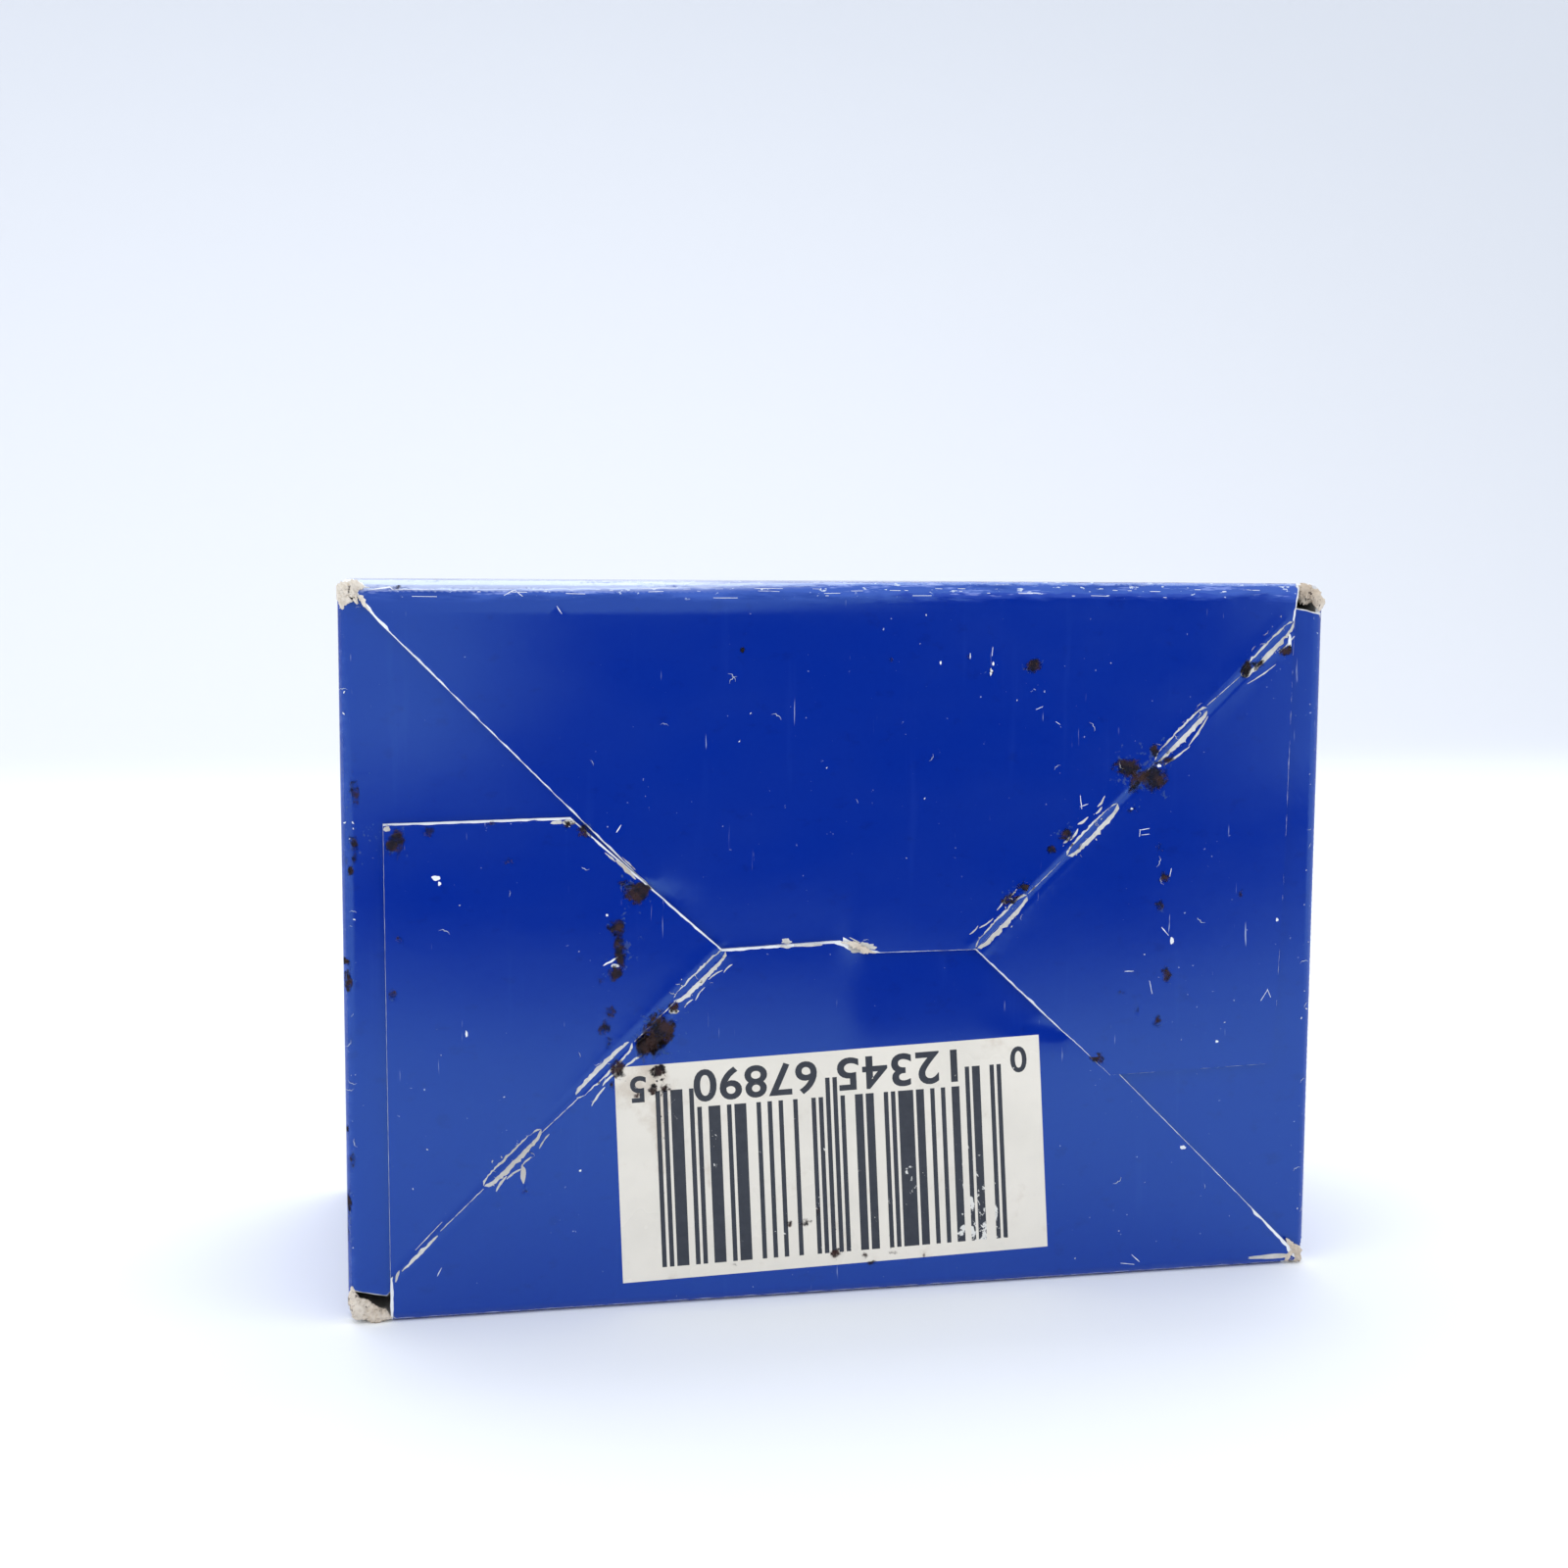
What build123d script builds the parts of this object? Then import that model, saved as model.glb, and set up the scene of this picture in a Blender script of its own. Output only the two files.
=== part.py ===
from build123d import *
import os
from math import cos, hypot, radians, sin, tan

# Box for a deck of trading cards, folded and glued from one blank of coated paperboard.
# A tuck lid closes one end. The other end is an auto-lock bottom: each main flap carries a lock
# panel beyond a 45 degree crease, the lock panel is glued to the neighbouring side flap, and the two
# main flaps hook under each other along the middle.
# The box stands on one of its long sides. +Z is up, -Y is the auto-lock bottom, +Y is the tuck lid,
# and the origin is the centre of the side that it stands on. Every length is in millimetres.

# driving dimensions: the room inside, and the board
inside_width = 90.5  # along X, for an 88.9 mm card
inside_height = 65.0  # along Z, for a 63.5 mm card
inside_depth = 40.0  # along Y, for a pile of about 110 cards
board = 0.5  # paperboard thickness
fold_radius = 0.7  # outer radius of every fold
glue_film = 0.1  # thickness of a glued joint
slip = 0.1  # clearance between boards that slide on each other

# the glued body seam, at the lower right corner
seam_width = 13.0
seam_end_gap = 1.3  # from the seam flap's ends to the flaps across the box's ends
seam_taper = 15.0  # degrees, at both ends of the seam flap
glue_margin = 1.8  # from a glue film's outline to the edges of the boards it joins

# the auto-lock bottom
end_inset = 3.7  # from the box's side to the cut end of a main flap and its lock panel
lock_reach = 45.3  # how far a lock panel reaches across the box from its own main fold
centre_step = 0.55  # how far each main flap's outer half passes the middle
hook_root = 2.0  # length over which a hook is joined to the back of its flap
hook_reach = 5.0  # how far a hook passes the middle, under the other flap
hook_width = 9.0
hook_gap = 0.8  # from the middle of the box to each hook
hook_chamfer = 2.0
side_flap_reach = 27.0  # from the box's side to the side flap's inner edge
side_flap_relief = 2.2  # at the corner where the main flap ends short
side_flap_lap = 2.8  # how far a side flap goes under the other main flap
crease_margin = 1.2  # from the 45 degree crease to the side flap

# the tuck lid
lid_side_gap = 0.3
tuck_gap = 0.25  # between the lower panel's inside and the tuck flap's fold
tuck_length = 12.0
tuck_lean = 8.0  # degrees that the tuck flap leans into the box
tuck_side_gap = 1.5
tuck_corner = 6.0  # radius of the tuck flap's free corners
dust_reach = 26.0
dust_hinge_gap = 1.5  # at the lid's hinge side
dust_taper = 28.0  # degrees, so that a dust flap stays under the opening lid
dust_tuck_gap = 5.0  # at the side where the tuck flap goes in
dust_relief = 8.0  # degrees, on the tuck side
dust_corner = 3.0

# outer size, and the planes of the layers across each end
width = inside_width + 2 * board
height = inside_height + 2 * board
depth = inside_depth + 4 * board + glue_film + slip
left, right = -width / 2, width / 2
bottom_plane = -depth / 2  # outer face of the main flaps and lock panels
side_bottom_plane = bottom_plane + board + glue_film  # outer face of the side flaps
lid_plane = depth / 2  # outer face of the lid
side_top_plane = lid_plane - board - slip  # outer face of the dust flaps
middle = height / 2
tuck_fold = board + tuck_gap  # height of the lid's fold with the tuck flap
slant = slip * hypot(1, 1)  # a clearance of slip, measured along X or Z beside a 45 degree cut


def end_slab(points, face, thickness=board):
    """Board of that outline, with its outer face on the plane and its thickness behind it."""
    with BuildPart() as slab:
        with BuildSketch(face):
            Polygon(*points, align=None)
        extrude(amount=-thickness)
    return slab.part


def rounded_case(front, back, low=0.0, half_width=width / 2):
    """The closed outer shape between two end planes, with every fold rounded."""
    with BuildPart() as case:
        with BuildSketch(Plane.XZ.offset(-back)):
            with Locations((0, (low + height) / 2)):
                Rectangle(2 * half_width, height - low)
        extrude(amount=back - front)
        fillet(case.edges(), fold_radius)
    return case.part


def prism_x(points):
    """A profile in the YZ plane, carried across the box's whole width."""
    with BuildPart() as prism:
        with BuildSketch(Plane.YZ.offset(left)):
            Polygon(*points, align=None)
        extrude(amount=width)
    return prism.part


def prism_z(points):
    """A profile in the XY plane, carried over the box's whole height."""
    with BuildPart() as prism:
        with BuildSketch(Plane.XY):
            Polygon(*points, align=None)
        extrude(amount=height)
    return prism.part


def prism_y(points, front, back):
    """A profile in the XZ plane, carried from one plane across Y to another."""
    with BuildPart() as prism:
        with BuildSketch(Plane.XZ.offset(-back)):
            Polygon(*points, align=None)
        extrude(amount=back - front)
    return prism.part


def half_plane(y, upper):
    """Plane on an end face, seen from outside, for the lower half's flaps or the upper half's.
    Its Y runs from that half's own fold across the box, so both halves share one drawing."""
    if upper:
        return Plane(origin=(0, y, height), x_dir=(-1, 0, 0), z_dir=(0, -1, 0))
    return Plane(origin=(0, y, 0), x_dir=(1, 0, 0), z_dir=(0, -1, 0))


main_case = rounded_case(bottom_plane, lid_plane)
side_case = rounded_case(side_bottom_plane, side_top_plane)
lid_case = rounded_case(bottom_plane, lid_plane, tuck_fold, right - lid_side_gap)

# ---- the four body panels, mitred at each fold and rounded outside ----

seam_fold = right - board - glue_film  # where the lower panel folds up into the seam flap

with BuildPart() as lower_panel:
    add(
        prism_y(
            [(left, 0), (seam_fold, 0), (seam_fold - board, board), (left + board, board)],
            bottom_plane,
            lid_plane,
        )
    )
    add(
        prism_x(
            [
                (bottom_plane, 0),
                (lid_plane - slip, 0),
                (lid_plane - slip, board),
                (bottom_plane + board, board),
            ]
        ),
        mode=Mode.INTERSECT,
    )
    add(main_case, mode=Mode.INTERSECT)

with BuildPart() as upper_panel:
    add(
        prism_y(
            [
                (left, height),
                (right, height),
                (right - board, height - board),
                (left + board, height - board),
            ],
            bottom_plane,
            lid_plane,
        )
    )
    add(
        prism_x(
            [
                (bottom_plane, height),
                (lid_plane, height),
                (lid_plane - board, height - board),
                (bottom_plane + board, height - board),
            ]
        ),
        mode=Mode.INTERSECT,
    )
    add(main_case, mode=Mode.INTERSECT)

with BuildPart() as left_panel:
    add(
        prism_y(
            [(left, 0), (left, height), (left + board, height - board), (left + board, board)],
            side_bottom_plane,
            side_top_plane,
        )
    )
    add(
        prism_z(
            [
                (left, side_bottom_plane),
                (left, side_top_plane),
                (left + board, side_top_plane - board),
                (left + board, side_bottom_plane + board),
            ]
        ),
        mode=Mode.INTERSECT,
    )
    add(side_case, mode=Mode.INTERSECT)

# The right panel laps over the seam flap, so its lower edge is a cut edge and not a fold.
with BuildPart() as right_panel:
    add(
        prism_y(
            [(right, 0), (right, height), (right - board, height - board), (right - board, 0)],
            side_bottom_plane,
            side_top_plane,
        )
    )
    add(
        prism_z(
            [
                (right, side_bottom_plane),
                (right, side_top_plane),
                (right - board, side_top_plane - board),
                (right - board, side_bottom_plane + board),
            ]
        ),
        mode=Mode.INTERSECT,
    )
    add(side_case, mode=Mode.INTERSECT)

# ---- the body seam ----

seam_front = side_bottom_plane + board + seam_end_gap
seam_back = side_top_plane - board - seam_end_gap
seam_slope = seam_width * tan(radians(seam_taper))

with BuildPart() as seam_flap:
    with BuildSketch(Plane.YZ.offset(seam_fold - board)):
        Polygon(
            (seam_front, 0),
            (seam_back, 0),
            (seam_back - seam_slope, seam_width),
            (seam_front + seam_slope, seam_width),
            align=None,
        )
    extrude(amount=board)
    add(
        prism_y(
            [
                (seam_fold, 0),
                (seam_fold, seam_width),
                (seam_fold - board, seam_width),
                (seam_fold - board, board),
            ],
            seam_front,
            seam_back,
        ),
        mode=Mode.INTERSECT,
    )

with BuildPart() as seam_glue:
    with BuildSketch(Plane.YZ.offset(seam_fold)):
        Polygon(
            (seam_front, 0),
            (seam_back, 0),
            (seam_back - seam_slope, seam_width),
            (seam_front + seam_slope, seam_width),
            align=None,
        )
        offset(amount=-glue_margin)
    extrude(amount=glue_film)


# ---- the auto-lock bottom: two halves, the same drawing turned half a turn ----

crease_top = middle + centre_step  # where the 45 degree crease meets the front edge
lock_outline = [
    (left + end_inset, end_inset),
    (left + end_inset, lock_reach),
    (left + height - lock_reach, lock_reach),
    (left + height - crease_top, crease_top),
    (left + crease_top, crease_top),
]
front_low = middle - centre_step - slip  # front edge of the half that hooks under the other flap
flap_outline = [
    (left + end_inset, 0),
    (left + end_inset, end_inset),
    (left + crease_top, crease_top),
    (-slip / 2, crease_top),
    (-slip / 2, front_low),
    (right - front_low - slant, front_low),
    (right - slant, 0),
]
crease_clear = crease_margin * hypot(1, 1)
lap_clear = side_flap_lap * hypot(1, 1)
side_flap_end = height - board - slip
side_flap_outline = [
    (left, side_flap_relief),
    (left + max(side_flap_relief - crease_clear, board), side_flap_relief),
    (left + side_flap_reach, side_flap_reach + crease_clear),
    (left + side_flap_reach, height - side_flap_reach + lap_clear),
    (left + height - side_flap_end + lap_clear, side_flap_end),
    (left, side_flap_end),
]


def main_flap(upper):
    """Main flap: the outer board, mitred at its fold, and the hook behind the other flap's edge."""
    hook_middle = hook_gap + hook_width / 2
    hook_low = front_low - hook_root
    hook_high = middle + hook_reach
    with BuildPart() as flap:
        add(end_slab(flap_outline, half_plane(bottom_plane, upper)))
        fold_edge = height if upper else 0
        inner_edge = height - board if upper else board
        far_edge = height - fold_edge
        add(
            prism_x(
                [
                    (bottom_plane, fold_edge),
                    (bottom_plane, far_edge),
                    (bottom_plane + board, far_edge),
                    (bottom_plane + board, inner_edge),
                ]
            ),
            mode=Mode.INTERSECT,
        )
        add(main_case, mode=Mode.INTERSECT)
        with BuildSketch(half_plane(bottom_plane + board, upper)):
            with Locations((hook_middle, (hook_low + front_low) / 2)):
                Rectangle(hook_width, hook_root)
        extrude(amount=-glue_film)
        with BuildSketch(half_plane(side_bottom_plane, upper)):
            with Locations((hook_middle, (hook_low + hook_high) / 2)):
                hook = Rectangle(hook_width, hook_high - hook_low)
            chamfer(hook.vertices().group_by(Axis.Z)[0 if upper else -1], hook_chamfer)
        extrude(amount=-board)
    return flap.part


def lock_panel(upper):
    """Lock panel: the main flap's extension beyond its 45 degree crease."""
    return end_slab(lock_outline, half_plane(bottom_plane, upper))


def side_flap(upper):
    """Side flap under a lock panel, mitred at its fold with the side panel."""
    side, inner = (right, right - board) if upper else (left, left + board)
    across = left if upper else right
    with BuildPart() as flap:
        add(end_slab(side_flap_outline, half_plane(side_bottom_plane, upper)))
        add(
            prism_z(
                [
                    (side, side_bottom_plane),
                    (across, side_bottom_plane),
                    (across, side_bottom_plane + board),
                    (inner, side_bottom_plane + board),
                ]
            ),
            mode=Mode.INTERSECT,
        )
        add(side_case, mode=Mode.INTERSECT)
    return flap.part


def lock_glue(upper):
    """Glue film between a lock panel and the side flap behind it."""
    with BuildPart() as film:
        with BuildSketch(half_plane(bottom_plane + board, upper)):
            Polygon(*lock_outline, align=None)
            Polygon(*side_flap_outline, align=None, mode=Mode.INTERSECT)
            offset(amount=-glue_margin, kind=Kind.INTERSECTION)
        extrude(amount=-glue_film)
    return film.part


# ---- the tuck lid, its tuck flap and the two dust flaps ----

lid_half_width = right - lid_side_gap
tuck_half_width = lid_half_width - tuck_side_gap
tuck_end = lid_plane - board - tuck_length

with BuildPart() as lid:
    with BuildSketch(Plane.XZ.offset(-lid_plane)):
        with Locations((0, (tuck_fold + height) / 2)):
            Rectangle(2 * lid_half_width, height - tuck_fold)
    extrude(amount=board)
    add(
        prism_x(
            [
                (lid_plane, tuck_fold),
                (lid_plane, height),
                (lid_plane - board, height - board),
                (lid_plane - board, tuck_fold + board),
            ]
        ),
        mode=Mode.INTERSECT,
    )
    add(lid_case, mode=Mode.INTERSECT)

with BuildPart() as tuck_flap:
    with BuildSketch(Plane.XY.offset(tuck_fold)):
        with Locations((0, (tuck_end + lid_plane) / 2)):
            tuck_sheet = Rectangle(2 * tuck_half_width, lid_plane - tuck_end)
        fillet(tuck_sheet.vertices().group_by(Axis.Y)[0], tuck_corner)
    extrude(amount=board)
    add(
        prism_x(
            [
                (lid_plane, tuck_fold),
                (lid_plane - board, tuck_fold + board),
                (tuck_end, tuck_fold + board),
                (tuck_end, tuck_fold),
            ]
        ),
        mode=Mode.INTERSECT,
    )
    add(lid_case, mode=Mode.INTERSECT)
tuck_hinge = Axis((0, lid_plane - board, tuck_fold + board), (1, 0, 0))
tuck_flap.part = tuck_flap.part.rotate(tuck_hinge, -tuck_lean)

with BuildPart() as left_dust_flap:
    with BuildSketch(Plane.XZ.offset(-side_top_plane)):
        dust_sheet = Polygon(
            (left, dust_tuck_gap),
            (left, height - dust_hinge_gap),
            (left + dust_reach, height - dust_hinge_gap - dust_reach * tan(radians(dust_taper))),
            (left + dust_reach, dust_tuck_gap + dust_reach * tan(radians(dust_relief))),
            align=None,
        )
        fillet(dust_sheet.vertices().group_by(Axis.X)[-1], dust_corner)
    extrude(amount=board)
    add(
        prism_z(
            [
                (left, side_top_plane),
                (right, side_top_plane),
                (right, side_top_plane - board),
                (left + board, side_top_plane - board),
            ]
        ),
        mode=Mode.INTERSECT,
    )
    add(side_case, mode=Mode.INTERSECT)

with BuildPart() as right_dust_flap:
    add(left_dust_flap.part)
    mirror(about=Plane.YZ, mode=Mode.REPLACE)

pieces = {
    "lower_panel": lower_panel.part,
    "upper_panel": upper_panel.part,
    "left_panel": left_panel.part,
    "right_panel": right_panel.part,
    "seam_flap": seam_flap.part,
    "seam_glue": seam_glue.part,
    "lower_main_flap": main_flap(upper=False),
    "upper_main_flap": main_flap(upper=True),
    "left_lock_panel": lock_panel(upper=False),
    "right_lock_panel": lock_panel(upper=True),
    "left_side_flap": side_flap(upper=False),
    "right_side_flap": side_flap(upper=True),
    "left_lock_glue": lock_glue(upper=False),
    "right_lock_glue": lock_glue(upper=True),
    "lid": lid.part,
    "tuck_flap": tuck_flap.part,
    "left_dust_flap": left_dust_flap.part,
    "right_dust_flap": right_dust_flap.part,
}
os.makedirs("parts", exist_ok=True)
for name, piece in pieces.items():
    piece.label = name
    export_step(piece, f"parts/{name}.step")
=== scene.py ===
"""Looks for the card deck box: coated paperboard panels and flaps, torn cut-creases, frayed corners and a printed
bar label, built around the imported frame. Sizes of the box are in millimetres until a mesh is made. The stage, the
lamps and the mirrored cards are in metres."""
import math

import bmesh
import bpy
import numpy as np
from mathutils import Matrix, Vector, noise
from mathutils.geometry import delaunay_2d_cdt


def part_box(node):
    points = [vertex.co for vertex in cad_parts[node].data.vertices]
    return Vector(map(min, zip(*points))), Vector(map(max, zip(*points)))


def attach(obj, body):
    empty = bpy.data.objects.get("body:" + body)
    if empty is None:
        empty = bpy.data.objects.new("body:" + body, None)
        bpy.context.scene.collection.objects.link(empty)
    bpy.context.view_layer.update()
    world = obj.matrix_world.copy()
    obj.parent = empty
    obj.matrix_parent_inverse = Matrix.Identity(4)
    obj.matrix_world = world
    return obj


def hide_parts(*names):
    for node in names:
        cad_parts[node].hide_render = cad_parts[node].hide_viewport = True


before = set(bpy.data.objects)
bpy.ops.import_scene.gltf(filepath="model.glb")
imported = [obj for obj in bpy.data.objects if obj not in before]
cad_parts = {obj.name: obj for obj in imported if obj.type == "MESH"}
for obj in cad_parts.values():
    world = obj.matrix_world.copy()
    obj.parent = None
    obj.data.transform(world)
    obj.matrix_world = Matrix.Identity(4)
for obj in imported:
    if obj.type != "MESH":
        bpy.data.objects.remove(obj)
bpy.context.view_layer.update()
scene = bpy.context.scene

# ---- sizes of the box, read from the frame ----

MM = 0.001


def span(node):
    """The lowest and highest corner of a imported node, in millimetres."""
    low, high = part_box(node)
    return np.array(low) / MM, np.array(high) / MM


lock_low, lock_high = span("left_lock_panel")
lid_high = span("lid")[1]
dust_high = span("left_dust_flap")[1]
half_width = span("right_panel")[1][0]
box_height = span("upper_panel")[1][2]
half_depth = lid_high[1]
board = lock_high[1] - lock_low[1]
skin = 0.05  # the printed skin lies this far inside the box's outline
bend = 1.0  # outer radius of a fold
front_y = -half_depth + skin
back_y = half_depth - skin
side_front_y = span("left_side_flap")[0][1]
side_back_y = dust_high[1]
left_x = -half_width + skin
right_x = half_width - skin
top_z = box_height - skin
base_z = 0.0
quarter = bend * math.pi / 4  # printed length of half a fold


# ---- small helpers ----

def rumple(x, z, size, seed=0.0):
    """Smooth noise between about -1 and 1 at that size in millimetres."""
    return np.array([noise.noise((a / size, b / size, seed)) for a, b in zip(np.ravel(x), np.ravel(z))])


def stepped(t):
    """Rises smoothly from 0 to 1 as t does."""
    t = np.clip(t, 0.0, 1.0)
    return t * t * (3 - 2 * t)


def inside(points, segments):
    """Even-odd test of points against closed outlines given as segments."""
    hits = np.zeros(len(points), dtype=int)
    if not len(segments):
        return hits.astype(bool)
    low = segments.reshape(-1, 2).min(0)
    high = segments.reshape(-1, 2).max(0)
    near = np.where(np.all((points > low) & (points < high), axis=1))[0]
    a, b = segments[:, 0], segments[:, 1]
    for block in np.array_split(near, max(1, len(near) * len(segments) // 4_000_000)):
        p = points[block]
        cross = (a[:, 1] > p[:, 1:2]) != (b[:, 1] > p[:, 1:2])
        rise = np.where(b[:, 1] == a[:, 1], 1e-12, b[:, 1] - a[:, 1])
        x = a[:, 0] + (p[:, 1:2] - a[:, 1]) * (b[:, 0] - a[:, 0]) / rise
        hits[block] = (cross & (p[:, 0:1] < x)).sum(1)
    return hits % 2 == 1


def segments_of(loops):
    out = []
    for loop in loops:
        loop = np.asarray(loop, dtype=float)
        out.append(np.stack([loop, np.roll(loop, -1, axis=0)], axis=1))
    return np.concatenate(out) if out else np.zeros((0, 2, 2))


def resampled(points, step):
    """Closed outline with points at most step apart; also gives each point's edge, place on it and points on it."""
    out, owner = [], []
    for i, p in enumerate(points):
        q = points[(i + 1) % len(points)]
        n = max(1, int(math.ceil(math.dist(p, q) / step)))
        for k in range(n):
            out.append((p[0] + (q[0] - p[0]) * k / n, p[1] + (q[1] - p[1]) * k / n))
            owner.append((i, k, n))
    return np.array(out), owner


def inward_of(points, edge):
    """The direction into an outline from one of its edges. Points run anticlockwise."""
    p, q = np.array(points[edge]), np.array(points[(edge + 1) % len(points)])
    d = (q - p) / np.linalg.norm(q - p)
    return np.array([-d[1], d[0]])


def inset(points, widths):
    """The outline moved inwards by a width for each edge. Points run anticlockwise."""
    out = []
    n = len(points)
    for i in range(n):
        lines = []
        for j in ((i - 1) % n, i):
            p, q = np.array(points[j]), np.array(points[(j + 1) % n])
            d = (q - p) / np.linalg.norm(q - p)
            inward = np.array([-d[1], d[0]])
            lines.append((p + inward * widths[j], d))
        (p, d), (q, e) = lines
        turn = d[0] * e[1] - d[1] * e[0]
        if abs(turn) < 1e-3:
            out.append(tuple(q))
        else:
            s = ((q - p)[0] * e[1] - (q - p)[1] * e[0]) / turn
            out.append(tuple(p + d * s))
    return out


def sheet_place(origin, along, across, outward, low1=None, high1=None, low2=None, high2=None, turn=None):
    """Where a point of a flat blank goes: the sheet bends through a quarter fold at each side named."""
    origin, along, across, outward = (np.array(v, dtype=float) for v in (origin, along, across, outward))

    def bent(c, low, high, d):
        run, drop = c.copy(), d.copy()
        if low is not None:
            m = c < low + bend
            angle = (low + bend - c[m]) / bend
            run[m] = low + bend - (bend - d[m]) * np.sin(angle)
            drop[m] = bend - (bend - d[m]) * np.cos(angle)
        if high is not None:
            m = c > high - bend
            angle = (c[m] - high + bend) / bend
            run[m] = high - bend + (bend - d[m]) * np.sin(angle)
            drop[m] = bend - (bend - d[m]) * np.cos(angle)
        return run, drop

    def place(u, v, d):
        run1, drop1 = bent(u, low1, high1, d)
        run2, drop2 = bent(v, low2, high2, d)
        p = origin + run1[:, None] * along + run2[:, None] * across - (drop1 + drop2 - d)[:, None] * outward
        if turn is not None:
            centre, angle = turn
            c, s = math.cos(angle), math.sin(angle)
            y, z = p[:, 1] - centre[0], p[:, 2] - centre[1]
            p = np.stack([p[:, 0], centre[0] + y * c - z * s, centre[1] + y * s + z * c], axis=1)
        return p

    return place


FOLD = (0.0, 0.0)  # an edge that carries on into the next board


def cut(white, ragged):
    """A cut edge: how wide its white rim shows, and how ragged it is."""
    return (white, ragged)


CLEAN = cut(0.2, 0.02)
HIDDEN = cut(0.1, 0.0)


def sliver(x, z, turn, length, wide, seed, points=14, bow=0.0):
    """A torn sliver's outline, pointed at both ends and ragged along its sides."""
    top, bottom = [], []
    for i in range(points + 1):
        t = i / points
        body = math.sin(math.pi * min(max(t, 0.03), 0.97)) ** 0.5
        for side, line in ((1, top), (-1, bottom)):
            w = wide / 2 * body * (0.75 + 0.75 * noise.noise((t * length / 0.55, side * 3.1, seed)))
            line.append(((t - 0.5) * length, side * max(w, 0.02) + bow * math.sin(math.pi * t)))
    c, s = math.cos(turn), math.sin(turn)
    loop = top + bottom[::-1]
    return [(x + a * c - b * s, z + a * s + b * c) for a, b in loop]


def lump(x, z, rx, rz, seed, points=22, rough=0.45):
    """An irregular torn patch."""
    out = []
    for i in range(points):
        a = 2 * math.pi * i / points
        r = 1 + rough * noise.noise((math.cos(a) * 1.3, math.sin(a) * 1.3,
            seed)) + 0.25 * rough * noise.noise((math.cos(a) * 5, math.sin(a) * 5, seed + 4))
        out.append((x + rx * r * math.cos(a), z + rz * r * math.sin(a)))
    return out


def shown(name, mesh, body="sleeve", nodes=()):
    """Puts a finished mesh in the scene as a piece of the box."""
    piece = bpy.data.objects.new(name, mesh)
    scene.collection.objects.link(piece)
    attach(piece, body)
    if nodes:
        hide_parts(*nodes)


# ---- shader effects shared by the finishes ----

def new_group(name, inputs, outputs):
    """A shader node group with its sockets; gives the tree, its input node and its output node."""
    tree = bpy.data.node_groups.new(name, "ShaderNodeTree")
    for label, kind, value in inputs:
        socket = tree.interface.new_socket(label, in_out="INPUT", socket_type=kind)
        if value is not None:
            socket.default_value = value
    for label, kind in outputs:
        tree.interface.new_socket(label, in_out="OUTPUT", socket_type=kind)
    return tree, tree.nodes.new("NodeGroupInput"), tree.nodes.new("NodeGroupOutput")


class Wires:
    """Short ways to add and join nodes in one tree."""

    def __init__(self, tree):
        self.tree = tree

    def put(self, kind, links=(), **values):
        node = self.tree.nodes.new(kind)
        for key, value in values.items():
            setattr(node, key, value)
        for socket, source in dict(links).items():
            target = node.inputs[socket]
            if isinstance(source, bpy.types.NodeSocket):
                self.tree.links.new(source, target)
            else:
                target.default_value = source
        return node

    def math(self, operation, a, b=None, clamp=False):
        links = {0: a} if b is None else {0: a, 1: b}
        return self.put("ShaderNodeMath", links, operation=operation, use_clamp=clamp).outputs[0]

    def times(self, a, b, clamp=False):
        return self.math("MULTIPLY", a, b, clamp)

    def plus(self, a, b, clamp=False):
        return self.math("ADD", a, b, clamp)

    def most(self, a, b):
        return self.math("MAXIMUM", a, b)

    def ramp(self, value, low, high):
        """0 below low, 1 above high, smooth between."""
        node = self.put("ShaderNodeMapRange", {0: value, 1: low, 2: high, 3: 0.0, 4: 1.0},
            interpolation_type="SMOOTHSTEP")
        return node.outputs[0]

    def mix(self, factor, a, b):
        """Colour a at factor 0 and colour b at 1."""
        return self.put("ShaderNodeMix", {0: factor, 6: a, 7: b}, data_type="RGBA", clamp_factor=True).outputs[2]

    def noise(self, place, scale, detail=3.0, rough=0.55, stretch=None, turn=0.0, distort=0.0):
        if stretch is not None or turn:
            node = self.put("ShaderNodeMapping", {"Vector": place, "Rotation": (0.0, turn, 0.0),
                "Scale": stretch or (1.0, 1.0, 1.0)})
            place = node.outputs[0]
        node = self.put("ShaderNodeTexNoise", {"Vector": place, "Scale": scale, "Detail": detail, "Roughness": rough,
            "Distortion": distort})
        return node.outputs[0]


VALUE, COLOUR, VECTOR = "NodeSocketFloat", "NodeSocketColor", "NodeSocketVector"


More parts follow.
